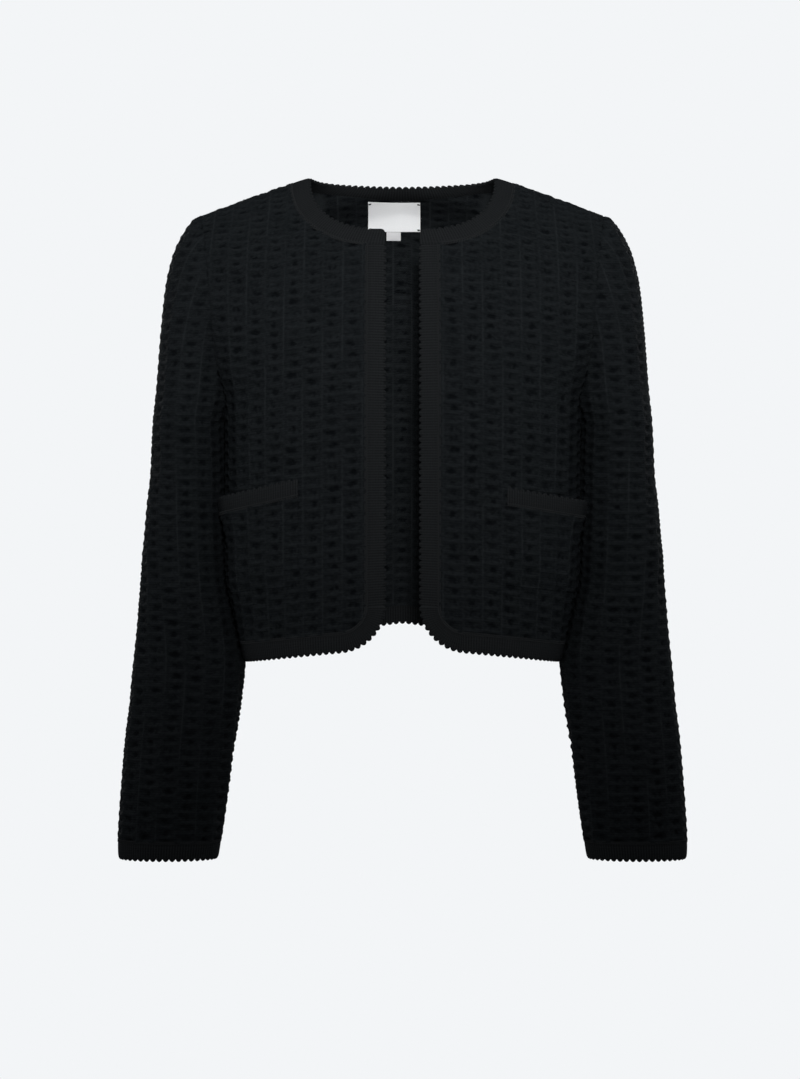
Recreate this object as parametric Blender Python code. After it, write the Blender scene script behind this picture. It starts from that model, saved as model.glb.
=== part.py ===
"""Cropped open-front knit jacket, worn shape with no wearer, as closed cloth solids.

Sizes are in millimetres and are turned into metres when a mesh is made.
+X is the wearer's left, -Y the front, +Z up. The origin lies between the two
neck points of the shoulders, where the wearer holds the jacket up.

Every cloth piece is cut from a curved sheet that is read in cloth coordinates:
s runs across from the sheet's middle line, t runs up from its lower edge.
"""
import math

import bmesh
import bpy
import numpy as np

MM = 0.001
COLLECTION = "knit_jacket"

# ---- cloth ----
WALL = 2.4              # knit panel, from a valley between ribs to the inside
SEAM_GAP = 0.3          # between two sewn pieces
ARMHOLE_GAP = 0.8       # the same where a sleeve turns sharply off the armhole
RIB_PITCH = 18.5        # vertical ribs of the ladder knit
RIB_HALF_WIDTH = 4.4
RIB_RISE = 1.2
BAND_WALL = 3.0         # fine-ribbed edge bands
BAND_RISE = 0.6         # how far a band stands above a panel's valleys
BAND_WIDTH = 18.0
TOOTH_PITCH = 6.1       # picot points along every outer edge
TOOTH_DEPTH = 2.4

# ---- torso ----
SHOULDER_TIP_Z = -35.5
UNDERARM_Z = -226.0
HEM_SIDE_Z = -456.0     # lower edge at the side seam
BELOW_HEM = 5.0         # the sheets run on this far, for the picot points
ARMHOLE_HALF_DEPTH = 60.0
ARMHOLE_POWER = 2.2
ARMHOLE_CURVE_RISE = 45.0   # above the underarm, where the armhole curves in under the chest
CHEST_DEPTH = 101.0
ROW_DROOP_POWER = 1.3   # how a row falls from the middle to the side
SHOULDER_BLEND = (-165.0, -85.0)   # side heights between which rows take the shoulder's flatter form
SOFT_TURN_POWER = 0.9   # of a shoulder row's bulge, 1 / squareness at the chest

# side height, half width
TORSO_WIDTH = (
    (-462.0, 148.5), (-440.0, 153.0), (-423.0, 156.5), (-403.0, 161.0),
    (-384.0, 165.5), (-365.0, 167.0), (-326.0, 167.5), (-265.0, 167.0),
    (-226.0, 167.5), (-187.0, 172.0), (-163.0, 175.0), (-108.0, 180.0),
    (-60.0, 186.0), (-35.5, 190.0),
)
# side height, droop of the front row, droop of the back row, squareness seen from above
ROW_FORM = (
    (-462.0, 15.0, 33.0, 2.4), (-340.0, 16.0, 31.0, 2.4), (-226.0, 19.0, 30.0, 2.95),
    (-190.0, 24.0, 33.0, 2.85), (-150.0, 31.0, 42.0, 2.6), (-115.0, 38.0, 51.0, 2.4),
    (-80.0, 46.0, 57.0, 2.4), (-55.0, 54.0, 58.3, 2.4), (-35.5, 58.5, 58.5, 2.4),
)
# height on the middle line, depth in front of the shoulder line
FRONT_PROFILE = (
    (-450.0, 97.0), (-400.0, 99.0), (-330.0, 102.0), (-260.0, 104.0),
    (-207.0, 105.0), (-166.0, 103.0), (-118.0, 96.0), (-77.0, 81.0),
    (-53.0, 69.0), (-25.0, 50.0), (-5.0, 32.0), (10.0, 16.0), (23.0, 0.0),
)
# height on the middle line, depth behind the shoulder line
BACK_PROFILE = (
    (-432.0, 97.0), (-340.0, 96.0), (-260.0, 97.0), (-180.0, 101.0),
    (-120.0, 99.0), (-60.0, 88.0), (-25.0, 72.0), (-12.0, 59.0),
    (-4.0, 49.0), (6.0, 43.0), (15.0, 36.0), (20.0, 24.0), (23.0, 0.0),
)

# ---- sleeves ----
CUFF_Z = -645.5
SLEEVE_POWER = 2.2
# height, outer edge, inner edge (from the underarm down)
SLEEVE_EDGES = (
    (-651.0, 267.2, 176.5), (-627.0, 268.0, 173.0), (-598.0, 266.8, 168.6),
    (-570.0, 265.0, 164.6), (-541.0, 263.0, 161.0), (-513.0, 260.4, 156.6),
    (-484.0, 257.6, 153.0), (-456.0, 254.8, 151.0), (-440.0, 253.2, 155.5),
    (-423.0, 251.6, 159.5), (-403.0, 250.2, 164.0), (-384.0, 248.8, 168.5),
    (-370.0, 247.6, 170.0), (-313.0, 242.3, 171.5), (-265.0, 238.6, 171.0),
    (-240.0, 236.8, 170.5), (-226.0, 235.6, 168.3),
)
# height, outer edge of the cap above the underarm
CAP_EDGE = (
    (-226.0, 235.6), (-200.0, 233.6), (-142.0, 230.2), (-100.0, 226.4),
    (-85.0, 223.4), (-71.0, 219.4), (-57.0, 213.0), (-49.0, 207.4),
    (-45.0, 204.4), (-41.0, 201.2), (-38.0, 197.6), (-36.2, 193.6),
    (-35.5, 190.4),
)
# height, half depth, how far the middle lies behind the shoulder line
SLEEVE_DEPTH = (
    (-651.0, 33.5, -15.0), (-598.0, 35.5, -10.0), (-541.0, 37.0, -3.0),
    (-484.0, 39.0, 4.0), (-456.0, 41.0, 7.0), (-427.0, 45.0, 9.0),
    (-403.0, 49.0, 10.0), (-370.0, 54.0, 10.0), (-313.0, 60.5, 8.0),
    (-265.0, 65.0, 5.0), (-226.0, 68.5, 0.0), (-165.0, 67.5, 0.0),
    (-131.0, 64.0, 0.0), (-100.0, 58.5, 0.0), (-85.0, 55.0, 0.0),
    (-71.0, 49.5, 0.0), (-60.0, 43.5, 0.0), (-45.0, 30.5, 0.0),
    (-35.5, 0.5, 0.0),
)

# ---- front opening, neck and hem ----
OPENING_HALF = 16.0     # the fronts hang this far from the middle line
CORNER_RADIUS = 40.0    # rounded lower corner of each front
NECK_CENTRE = (20.0, 2.0)          # of the curve of the front neck, in x and z
NECK_EDGE_RADII = (68.0, 55.0)
NECK_SEAM_RADII = (86.0, 71.0)
NECK_POWER = 2.3
BACK_NECK_Z = -1.5      # neck edge at the middle of the back
BACK_NECK_SEAM_Z = -12.0

# ---- pockets ----
POCKET_INNER_S = 97.0   # along the cloth from the middle line
POCKET_OUTER_S = 191.0
POCKET_BOTTOM_T = 66.0
POCKET_BAND_WIDTH = 15.5
POCKET_LIFT = 2.5       # inside of the patch above the front's valleys
POCKET_GAPE = 9.0       # how far the mouth's outer end stands off
GAPE_REACH = 55.0       # below the mouth, where the patch lies flat again
# side sign, height of the mouth at its inner and outer end
POCKETS = (
    ("left", 1.0, -294.0, -306.0),
    ("right", -1.0, -286.0, -303.0),
)

# ---- label ----
LABEL_THICKNESS = 0.6
LABEL_GAP = 0.9         # clear of the flat facets of the back between its rows
LABEL_SPAN = (-34.5, 18.0)         # across, on the inside of the back
LABEL_HEIGHTS = (-41.5, -13.0)     # of its lower and upper edge
TAB_SPAN = (-16.0, -1.8)
TAB_HEIGHTS = (-50.0, -41.8)

# side heights of the section rows that fronts, back and sleeves share
ARMHOLE_ROWS = (
    -226.0, -221.7, -209.3, -189.5, -163.5, -130.7, -105.0, -98.0, -90.0,
    -81.0, -72.0, -62.0, -52.0, -45.0, -39.8, -36.6,
)
SIDE_ROWS = (-265.0, -326.0, -384.0, -420.0)
SLEEVE_ROWS = (-265.0, -313.0, -370.0, -410.0, -440.0, -470.0, -525.0, -580.0)

# ---- colours, linear ----
KNIT_COLOUR = (0.0075, 0.0085, 0.0095, 1.0)
BAND_COLOUR = (0.011, 0.012, 0.0125, 1.0)
LABEL_COLOUR = (0.72, 0.73, 0.75, 1.0)
TAB_COLOUR = (0.82, 0.82, 0.83, 1.0)


# ---------------------------------------------------------------- curves
def curve_through(table, column, at):
    """Smooth curve without overshoot through one column of a table, keyed by column 0."""
    rows = np.array(sorted(table))
    knots = rows[:, 0]
    values = rows[:, column]
    step = np.diff(knots)
    slope = np.diff(values) / step
    tangent = np.zeros(len(knots))
    tangent[0] = slope[0]
    tangent[-1] = slope[-1]
    for i in range(1, len(knots) - 1):
        if slope[i - 1] * slope[i] > 0:
            before = 2 * step[i] + step[i - 1]
            after = step[i] + 2 * step[i - 1]
            tangent[i] = (before + after) / (before / slope[i - 1] + after / slope[i])
    at = np.clip(np.asarray(at, float), knots[0], knots[-1])
    i = np.clip(np.searchsorted(knots, at) - 1, 0, len(step) - 1)
    u = (at - knots[i]) / step[i]
    return ((2 * u**3 - 3 * u**2 + 1) * values[i] + (u**3 - 2 * u**2 + u) * step[i] * tangent[i]
            + (3 * u**2 - 2 * u**3) * values[i + 1] + (u**3 - u**2) * step[i] * tangent[i + 1])


def signed_power(value, power):
    return np.sign(value) * np.abs(value) ** power


def smooth_step(value):
    value = np.clip(value, 0.0, 1.0)
    return value * value * (3.0 - 2.0 * value)


def armhole_half_depth(z):
    """Half of the armhole's width, front to back, at height z."""
    middle = (SHOULDER_TIP_Z + UNDERARM_Z) / 2
    half = (SHOULDER_TIP_Z - UNDERARM_Z) / 2
    level = np.clip(np.abs(z - middle) / half, 0.0, 1.0)
    return ARMHOLE_HALF_DEPTH * (1.0 - level**ARMHOLE_POWER) ** (1.0 / ARMHOLE_POWER)


def torso_half_width(z):
    """Half width of the row whose side lies at height z; above the underarm it ends at the armhole."""
    measured = curve_through(TORSO_WIDTH, 1, z)
    squareness = curve_through(ROW_FORM, 3, z)
    open_share = armhole_half_depth(z) / CHEST_DEPTH * (np.asarray(z) > UNDERARM_Z)
    cut_short = measured * (1.0 - open_share**squareness) ** (1.0 / squareness)
    blend = smooth_step((np.asarray(z) - UNDERARM_Z) / ARMHOLE_CURVE_RISE)
    return cut_short + (measured - cut_short) * blend


def armhole_heights(count):
    """Heights from the underarm to the shoulder tip, even along the armhole."""
    angle = np.linspace(math.pi, 0.0, count)
    middle = (SHOULDER_TIP_Z + UNDERARM_Z) / 2
    half = (SHOULDER_TIP_Z - UNDERARM_Z) / 2
    return middle + half * signed_power(np.cos(angle), 2.0 / ARMHOLE_POWER)


# ---------------------------------------------------------------- sheets
class Sheet:
    """A curved sheet sampled in rows. s = 0 and t = 0 lie on its middle and lower lines."""

    SAMPLES = 241
    GUIDE_S = 100.0     # t is measured along this line of the cloth
    SLOPE_STEP = 3.0    # to each side of a point, when its normal is worked out

    def __init__(self, rows, heights, zero_height, outward):
        self.points = np.array([self.even(row) for row in rows])
        self.heights = np.asarray(heights)
        self.lengths = np.linalg.norm(np.diff(self.points, axis=1), axis=2).sum(axis=1)
        self.t_rows = self.measured_up(zero_height)
        self.normals = outward * self.find_normals()

    def even(self, row):
        """One row again, with its samples evenly spaced along the cloth."""
        travelled = np.concatenate(([0.0], np.cumsum(np.linalg.norm(np.diff(row, axis=0), axis=1))))
        marks = np.linspace(0.0, travelled[-1], self.SAMPLES)
        return np.stack([np.interp(marks, travelled, row[:, k]) for k in range(3)], axis=1)

    def measured_up(self, zero_height):
        """t of every row, measured along the guide line from the row at zero_height."""
        place = (self.GUIDE_S / self.lengths + 0.5) * (self.SAMPLES - 1)
        samples = np.arange(self.SAMPLES)
        guide = np.array([[np.interp(p, samples, row[:, k]) for k in range(3)]
                          for p, row in zip(place, self.points)])
        travelled = np.concatenate(([0.0], np.cumsum(np.linalg.norm(np.diff(guide, axis=0), axis=1))))
        return travelled - np.interp(zero_height, self.heights, travelled)

    def find_normals(self):
        share = np.linspace(-0.5, 0.5, self.SAMPLES)
        s = share[None, :] * self.lengths[:, None]
        t = self.t_rows[:, None]
        above = np.minimum(t + self.SLOPE_STEP, self.t_rows[-1])
        below = np.maximum(t - self.SLOPE_STEP, self.t_rows[0])
        along = self.read(self.points, s, above) - self.read(self.points, s, below)
        normals = np.cross(np.gradient(self.points, axis=1), along)
        return normals / np.linalg.norm(normals, axis=2, keepdims=True)

    def t_at(self, height):
        return np.interp(height, self.heights, self.t_rows)

    def half_length(self, t):
        return np.interp(t, self.t_rows, self.lengths) / 2

    def read(self, grid, s, t):
        s, t = np.broadcast_arrays(np.asarray(s, float), np.asarray(t, float))
        row = np.interp(t, self.t_rows, np.arange(len(self.t_rows)))
        length = np.interp(row, np.arange(len(self.lengths)), self.lengths)
        column = np.clip(s / length + 0.5, 0.0, 1.0) * (self.SAMPLES - 1)
        i = np.minimum(row.astype(int), len(self.t_rows) - 2)
        j = np.minimum(column.astype(int), self.SAMPLES - 2)
        u = (row - i)[..., None]
        v = (column - j)[..., None]
        lower = grid[i, j] * (1 - v) + grid[i, j + 1] * v
        upper = grid[i + 1, j] * (1 - v) + grid[i + 1, j + 1] * v
        return lower * (1 - u) + upper * u

    def point(self, s, t, lift=0.0):
        """Point of the sheet, moved out along its normal by lift."""
        normal = self.read(self.normals, s, t)
        normal = normal / np.linalg.norm(normal, axis=-1, keepdims=True)
        return self.read(self.points, s, t) + normal * np.asarray(lift)[..., None]


def torso_sheet(profile, droop_column, facing):
    """Front (facing -1) or back (facing 1), from side to side, hem to shoulder."""
    side = np.linspace(HEM_SIDE_Z - BELOW_HEM, UNDERARM_Z, 70, endpoint=False)
    heights = np.concatenate((side, armhole_heights(120)))
    width = torso_half_width(heights)
    droop = curve_through(ROW_FORM, droop_column, heights)
    squareness = curve_through(ROW_FORM, 3, heights)
    middle_z = heights + droop
    depth = curve_through(profile, 1, middle_z)
    end_depth = np.where(heights > UNDERARM_Z, armhole_half_depth(heights), 0.0)
    turn = np.linspace(-math.pi / 2, math.pi / 2, 481)
    low, high = SHOULDER_BLEND
    shoulder_share = smooth_step((heights - low) / (high - low))
    rows = []
    for i in range(len(heights)):
        power = squareness[i]
        across = signed_power(np.sin(turn), 2.0 / power)
        # chest: part of a wider row that runs on into the sleeve
        cut = min(end_depth[i] / max(depth[i], 1.0), 0.95)
        wider = (1.0 - cut**power) ** (1.0 / power)
        chest = depth[i] * (1.0 - np.abs(across * wider) ** power).clip(0.0) ** (1.0 / power)
        # shoulder: a soft bulge between the two armholes
        bulge = (1.0 - np.abs(across) ** power).clip(0.0) ** SOFT_TURN_POWER
        shoulder = end_depth[i] + (depth[i] - end_depth[i]) * bulge
        share = shoulder_share[i]
        rows.append(np.stack((
            width[i] * across,
            facing * (chest * (1.0 - share) + shoulder * share),
            middle_z[i] - droop[i] * np.abs(across) ** ROW_DROOP_POWER,
        ), axis=1))
    sheet = Sheet(rows, heights, HEM_SIDE_Z, outward=-facing)
    upright = np.array((0.5, 0.15, 0.0))    # the walls end upright along the shoulder seam
    sheet.normals[-3:, :, 1] *= upright[:, None]
    sheet.normals[-3:] /= np.linalg.norm(sheet.normals[-3:], axis=2, keepdims=True)
    return sheet


class SleeveSheet(Sheet):
    """The wearer's left sleeve. s = 0 is its outer line and s grows to the front."""

    GUIDE_S = 0.0


def sleeve_sheet():
    ring = np.linspace(CUFF_Z - BELOW_HEM, UNDERARM_Z, 110, endpoint=False)
    heights = np.concatenate((ring, armhole_heights(120)[:-1]))
    rows = []
    for z in heights:
        half_depth = float(curve_through(SLEEVE_DEPTH, 1, z))
        middle_y = float(curve_through(SLEEVE_DEPTH, 2, z))
        if z < UNDERARM_Z:
            outer = float(curve_through(SLEEVE_EDGES, 1, z))
            inner = float(curve_through(SLEEVE_EDGES, 2, z))
            half_width = (outer - inner) / 2
            last = math.pi
        else:
            outer = float(curve_through(CAP_EDGE, 1, z))
            seam_x = float(torso_half_width(z)) + ARMHOLE_GAP
            seam_y = float(armhole_half_depth(z))
            half_depth = max(half_depth, seam_y * 1.01)
            share = (seam_y / half_depth) ** SLEEVE_POWER
            past_middle = (1.0 - share) ** (1.0 / SLEEVE_POWER)
            half_width = (outer - seam_x) / (1.0 + past_middle)
            last = math.pi - math.asin(share ** 0.5)
        angle = np.linspace(-last, last, 361)
        rows.append(np.stack((
            outer - half_width + half_width * signed_power(np.cos(angle), 2.0 / SLEEVE_POWER),
            middle_y - half_depth * signed_power(np.sin(angle), 2.0 / SLEEVE_POWER),
            np.full_like(angle, z),
        ), axis=1))
    return SleeveSheet(rows, heights, CUFF_Z, outward=-1.0)


# ---------------------------------------------------------------- meshes
def new_object(name, bm, colour, roughness):
    mesh = bpy.data.meshes.new(name)
    bmesh.ops.recalc_face_normals(bm, faces=bm.faces)
    bm.to_mesh(mesh)
    bm.free()
    mesh.shade_smooth()
    mesh.set_sharp_from_angle(angle=math.radians(40))
    part = bpy.data.objects.new(name, mesh)
    bpy.data.collections[COLLECTION].objects.link(part)
    material = bpy.data.materials.new(name)
    material.use_nodes = True
    shader = material.node_tree.nodes["Principled BSDF"]
    shader.inputs["Base Color"].default_value = colour
    shader.inputs["Roughness"].default_value = roughness
    shader.inputs["Metallic"].default_value = 0.0
    mesh.materials.append(material)
    return part


def zip_rows(bm, lower, upper):
    """Faces between two rows of (key, vertex); equal keys make a quad, others triangles."""
    i = 0
    j = 0
    while i < len(lower) - 1 or j < len(upper) - 1:
        left = lower[i + 1][0] if i < len(lower) - 1 else math.inf
        right = upper[j + 1][0] if j < len(upper) - 1 else math.inf
        both_last = i == len(lower) - 2 and j == len(upper) - 2
        if both_last or abs(left - right) < 1e-6:
            corners = [lower[i][1], lower[i + 1][1], upper[j + 1][1], upper[j][1]]
            i += 1
            j += 1
        elif left < right:
            corners = [lower[i][1], lower[i + 1][1], upper[j][1]]
            i += 1
        else:
            corners = [lower[i][1], upper[j + 1][1], upper[j][1]]
            j += 1
        bm.faces.new(corners)


def wall_mesh(outer_rows, inner_rows, ring_rows=0, joined_rows=0):
    """Closed wall between an outer and an inner stack of rows of (key, point).

    The first ring_rows rows are rings, whose last point is their first; the rest are open.
    The first joined_rows rows are left open at their start, where a mirror image joins them.
    """
    bm = bmesh.new()
    stacks = []
    for stack in (outer_rows, inner_rows):
        rows = []
        for k, row in enumerate(stack):
            verts = [(key, bm.verts.new(np.asarray(point) * MM)) for key, point in row]
            if k < ring_rows:
                bm.verts.remove(verts[-1][1])
                verts[-1] = (verts[-1][0], verts[0][1])
            rows.append(verts)
        stacks.append(rows)
    outer, inner = stacks
    for rows in stacks:
        for lower, upper in zip(rows, rows[1:]):
            zip_rows(bm, lower, upper)
    zip_rows(bm, inner[0], outer[0])
    zip_rows(bm, outer[-1], inner[-1])
    for end, first in ((0, max(ring_rows - 1, joined_rows - 1, 0)), (-1, max(ring_rows - 1, 0))):
        for k in range(first, len(outer) - 1):
            bm.faces.new([outer[k][end][1], outer[k + 1][end][1],
                          inner[k + 1][end][1], inner[k][end][1]])
    return bm


def rib_row(sheet, ends, t, lift, pitch=RIB_PITCH, sign=1.0, mirror=1.0, phase=0.0):
    """Outer and inner row of (key, point) of a ribbed wall between two s values.

    t is a number, or a function of s for a slanting row.
    """
    low, high = ends
    margin = RIB_HALF_WIDTH * 1.3
    first = math.ceil((low + margin) / pitch - phase)
    last = math.floor((high - margin) / pitch - phase)
    outer = [(low, 0.0)]
    inner = [(low, 0.0)]
    for k in range(first, last + 1):
        centre = (k + phase) * pitch
        outer += [(centre - RIB_HALF_WIDTH, 0.0), (centre, RIB_RISE), (centre + RIB_HALF_WIDTH, 0.0)]
        if centre + pitch / 2 < high - margin:
            inner.append((centre + pitch / 2, 0.0))
    outer.append((high, 0.0))
    inner.append((high, 0.0))
    rows = []
    for marks, base in ((outer, 0.0), (inner, -WALL)):
        s = np.array([mark[0] for mark in marks])
        level = t(s) if callable(t) else t
        rise = np.array([mark[1] for mark in marks]) + base + lift(s, level)
        points = sheet.point(sign * s, level, rise) * (mirror, 1.0, 1.0)
        rows.append(list(zip(s / pitch, points)))
    return rows


def no_lift(s, t):
    return np.zeros_like(s)


def ribbed_panel(name, sheet, sections, lift=no_lift, sign=1.0, mirror=1.0, ring_rows=0):
    """A knit panel through sections of (t, low s, high s, rib pitch)."""
    outer_rows = []
    inner_rows = []
    for t, low, high, pitch in sections:
        outer, inner = rib_row(sheet, (low, high), t, lift, pitch, sign, mirror)
        outer_rows.append(outer)
        inner_rows.append(inner)
    new_object(name, wall_mesh(outer_rows, inner_rows, ring_rows), KNIT_COLOUR, 0.9)


def spread(path, marks):
    """Points of a path of (s, t) at the given shares of its length."""
    path = np.asarray(path, float)
    travelled = np.concatenate(([0.0], np.cumsum(np.linalg.norm(np.diff(path, axis=0), axis=1))))
    where = np.asarray(marks) * travelled[-1]
    return np.stack([np.interp(where, travelled, path[:, k]) for k in range(2)], axis=1)


def picot_band(name, stretches, lift=no_lift, mirror=1.0, ring=False):
    """A band along stretches of (sheet, seam path, edge path), with picot points on its edge."""
    rows = {"seam": ([], []), "edge": ([], [])}
    key = 0.0
    for number, (sheet, seam_path, edge_path) in enumerate(stretches):
        fine = spread(edge_path, np.linspace(0.0, 1.0, 60))
        length = np.linalg.norm(np.diff(sheet.point(fine[:, 0], fine[:, 1]), axis=0), axis=1).sum()
        teeth = max(1, round(length / TOOTH_PITCH))
        shares = np.arange(2 * teeth + 1) / (2 * teeth)
        seam = spread(seam_path, shares)
        edge = spread(edge_path, shares)
        outward = edge - seam
        outward /= np.linalg.norm(outward, axis=1, keepdims=True)
        tip = np.arange(2 * teeth + 1) % 2 == 1
        edge = edge + outward * (np.where(tip, 0.5, -0.5) * TOOTH_DEPTH)[:, None]
        for line, path in (("seam", seam), ("edge", edge)):
            for face, depth in ((0, BAND_RISE), (1, BAND_RISE - BAND_WALL)):
                rise = lift(np.abs(path[:, 0]), path[:, 1]) + depth
                points = sheet.point(path[:, 0], path[:, 1], rise) * (mirror, 1.0, 1.0)
                for i, point in enumerate(points):
                    repeated = number > 0 and i == 0
                    if not repeated and (line == "edge" or not tip[i]):
                        rows[line][face].append((key + i / 2, point))
        key += teeth
    outer_rows = [rows["seam"][0], rows["edge"][0]]
    inner_rows = [rows["seam"][1], rows["edge"][1]]
    bm = wall_mesh(outer_rows, inner_rows, 2 if ring else 0)
    new_object(name, bm, BAND_COLOUR, 0.85)


# ---------------------------------------------------------------- lines on the cloth
def shoulder_line(x):
    """Height of the shoulder seam at x."""
    share = (x / TORSO_WIDTH[-1][1]) ** ROW_DROOP_POWER
    return SHOULDER_TIP_Z + ROW_FORM[-1][1] * (1.0 - share)


def front_neck_curve(radii):
    """One side of the front neck, from the opening to the shoulder, as x and z."""
    angle = np.linspace(math.pi / 2, 0.0, 300)
    x = NECK_CENTRE[0] + radii[0] * signed_power(np.cos(angle), 2.0 / NECK_POWER)
    z = NECK_CENTRE[1] - radii[1] * signed_power(np.sin(angle), 2.0 / NECK_POWER)
    below = z < shoulder_line(x)
    x = np.concatenate(([OPENING_HALF], x[below][::6], x[below][-1:]))
    z = np.concatenate(([NECK_CENTRE[1] - radii[1]], z[below][::6], shoulder_line(x[-1:])))
    return x, z


def back_neck_curve(middle_z, shoulder_x):
    """One side of the back neck, from the middle to the shoulder, as x and z."""
    x = np.linspace(0.0, shoulder_x, 40)
    return x, middle_z + (shoulder_line(shoulder_x) - middle_z) * (x / shoulder_x) ** 2


def to_cloth(sheet, x, z):
    """(s, t) of the places that the front view shows at x and z."""
    half = sheet.SAMPLES // 2
    found = []
    for a, b in zip(x, z):
        place = [np.interp(a, row[half:, 0], np.arange(half, sheet.SAMPLES)) for row in sheet.points]
        row_z = [np.interp(p, np.arange(sheet.SAMPLES), row[:, 2]) for p, row in zip(place, sheet.points)]
        row_s = (np.array(place) / (sheet.SAMPLES - 1) - 0.5) * sheet.lengths
        t = np.interp(b, row_z, sheet.t_rows)
        found.append((np.interp(t, sheet.t_rows, row_s), t))
    return np.array(found)


def t_at_height(sheet, s, z):
    """t of the place at s that lies at height z."""
    row_z = sheet.point(np.full(len(sheet.t_rows), s), sheet.t_rows)[:, 2]
    return float(np.interp(z, row_z, sheet.t_rows))


def mirrored(path):
    return path * (-1.0, 1.0)


def beside_neck(neck_seam):
    """The neck seam moved onto the panel, clear of the band between two section rows too."""
    return neck_seam + (2 * SEAM_GAP, -2 * SEAM_GAP)


# ---------------------------------------------------------------- pieces
def front_seam_s(t):
    """Where a front panel starts at t, beside the front band and round its corner."""
    corner = CORNER_RADIUS - BAND_WIDTH
    height = np.clip(CORNER_RADIUS - t, 0.0, corner)
    return OPENING_HALF + CORNER_RADIUS - math.sqrt(corner**2 - height**2) + SEAM_GAP


def build_front(name, sign, front, neck_seam):
    neck_seam = beside_neck(neck_seam)
    turn = np.linspace(math.pi / 2, 0.0, 5)
    corner_rows = list(CORNER_RADIUS - (CORNER_RADIUS - BAND_WIDTH) * np.sin(turn))
    corner_rows[0] += SEAM_GAP
    side_rows = [front.t_at(z) for z in sorted(SIDE_ROWS + ARMHOLE_ROWS)]
    top = front.t_rows[-1] - SEAM_GAP
    sections = []
    for t in corner_rows + side_rows + [top]:
        low = max(front_seam_s(t), float(np.interp(t, neck_seam[:, 1], neck_seam[:, 0])))
        sections.append((t, low, front.half_length(t) - SEAM_GAP / 2, RIB_PITCH))
    ribbed_panel(name, front, sections, sign=sign)


def build_back(back, neck_seam):
    """Half of the back, from the middle line to one side, then its mirror image."""
    neck_seam = beside_neck(neck_seam)
    hem_rows = [BAND_WIDTH + SEAM_GAP]
    side_rows = [back.t_at(z) for z in sorted(SIDE_ROWS) + sorted(ARMHOLE_ROWS)]
    neck_bottom = neck_seam[0, 1]
    neck_rows = [neck_bottom + rise for rise in (0.0, 1.2, 4.0)]
    levels = sorted(hem_rows + side_rows + neck_rows + [back.t_rows[-1] - SEAM_GAP])
    outer_rows = []
    inner_rows = []
    for t in levels:
        low = 0.0
        if t > neck_bottom:
            low = float(np.interp(t, neck_seam[:, 1], neck_seam[:, 0]))
        ends = (low, back.half_length(t) - SEAM_GAP / 2)
        outer, inner = rib_row(back, ends, t, no_lift, phase=0.5)
        outer_rows.append(outer)
        inner_rows.append(inner)
    joined = levels.index(neck_bottom)
    bm = wall_mesh(outer_rows, inner_rows, joined_rows=joined + 1)
    half = bm.verts[:] + bm.edges[:] + bm.faces[:]
    copy = bmesh.ops.duplicate(bm, geom=half)
    for item in copy["geom"]:
        if isinstance(item, bmesh.types.BMVert):
            item.co.x = -item.co.x
    bmesh.ops.reverse_faces(bm, faces=[f for f in copy["geom"] if isinstance(f, bmesh.types.BMFace)])
    bmesh.ops.remove_doubles(bm, verts=bm.verts, dist=0.001 * MM)
    new_object("back", bm, KNIT_COLOUR, 0.9)


def build_sleeve(name, mirror, sleeve):
    ring_levels = [BAND_WIDTH + 2 * SEAM_GAP] + [sleeve.t_at(z) for z in sorted(SLEEVE_ROWS)]
    open_levels = [sleeve.t_at(z) for z in sorted(ARMHOLE_ROWS)]
    ring_levels.append(open_levels.pop(0))
    sections = []
    for t in ring_levels:
        half = sleeve.half_length(t)
        sections.append((t, -half, half, RIB_PITCH))
    for t in open_levels:
        half = sleeve.half_length(t) - SEAM_GAP / 2
        sections.append((t, -half, half, RIB_PITCH))
    ribbed_panel(name, sleeve, sections, mirror=mirror, ring_rows=len(ring_levels))


def build_cuff_band(name, mirror, sleeve):
    def circle(t):
        half = sleeve.half_length(t)
        return np.array([(-half, t), (half, t)])
    picot_band(name, [(sleeve, circle(BAND_WIDTH), circle(TOOTH_DEPTH / 2))], mirror=mirror, ring=True)


def build_front_band(name, sign, front, neck_seam):
    """One band down the front edge, round the corner and along the front hem."""
    turn = np.linspace(0.0, math.pi / 2, 12)
    centre_s = OPENING_HALF + CORNER_RADIUS

    def corner(radius):
        return np.stack((centre_s - radius * np.cos(turn), CORNER_RADIUS - radius * np.sin(turn)), axis=1)

    seam_s = OPENING_HALF + BAND_WIDTH
    seam_top = np.interp(seam_s, neck_seam[:, 0], neck_seam[:, 1]) - SEAM_GAP
    edge_top = neck_seam[0, 1] - SEAM_GAP
    seam_corner = corner(CORNER_RADIUS - BAND_WIDTH)
    edge_corner = corner(CORNER_RADIUS)
    upright = (np.array([(seam_s, seam_top), (seam_s, CORNER_RADIUS)]),
               np.array([(OPENING_HALF, edge_top), (OPENING_HALF, CORNER_RADIUS)]))
    seam_end = (front.half_length(BAND_WIDTH) - SEAM_GAP / 2, BAND_WIDTH)
    edge_end = (front.half_length(0.0) - SEAM_GAP / 2, 0.0)
    hem = (np.array([seam_corner[-1], seam_end]), np.array([edge_corner[-1], edge_end]))
    side = (sign, 1.0)
    stretches = [(front, seam * side, edge * side)
                 for seam, edge in (upright, (seam_corner, edge_corner), hem)]
    picot_band(name, stretches)


def build_back_hem_band(back):
    seam_half = back.half_length(BAND_WIDTH) - SEAM_GAP / 2
    edge_half = back.half_length(0.0) - SEAM_GAP / 2
    seam = np.array([(-seam_half, BAND_WIDTH), (seam_half, BAND_WIDTH)])
    edge = np.array([(-edge_half, 0.0), (edge_half, 0.0)])
    picot_band("back_hem_band", [(back, seam, edge)])


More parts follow.
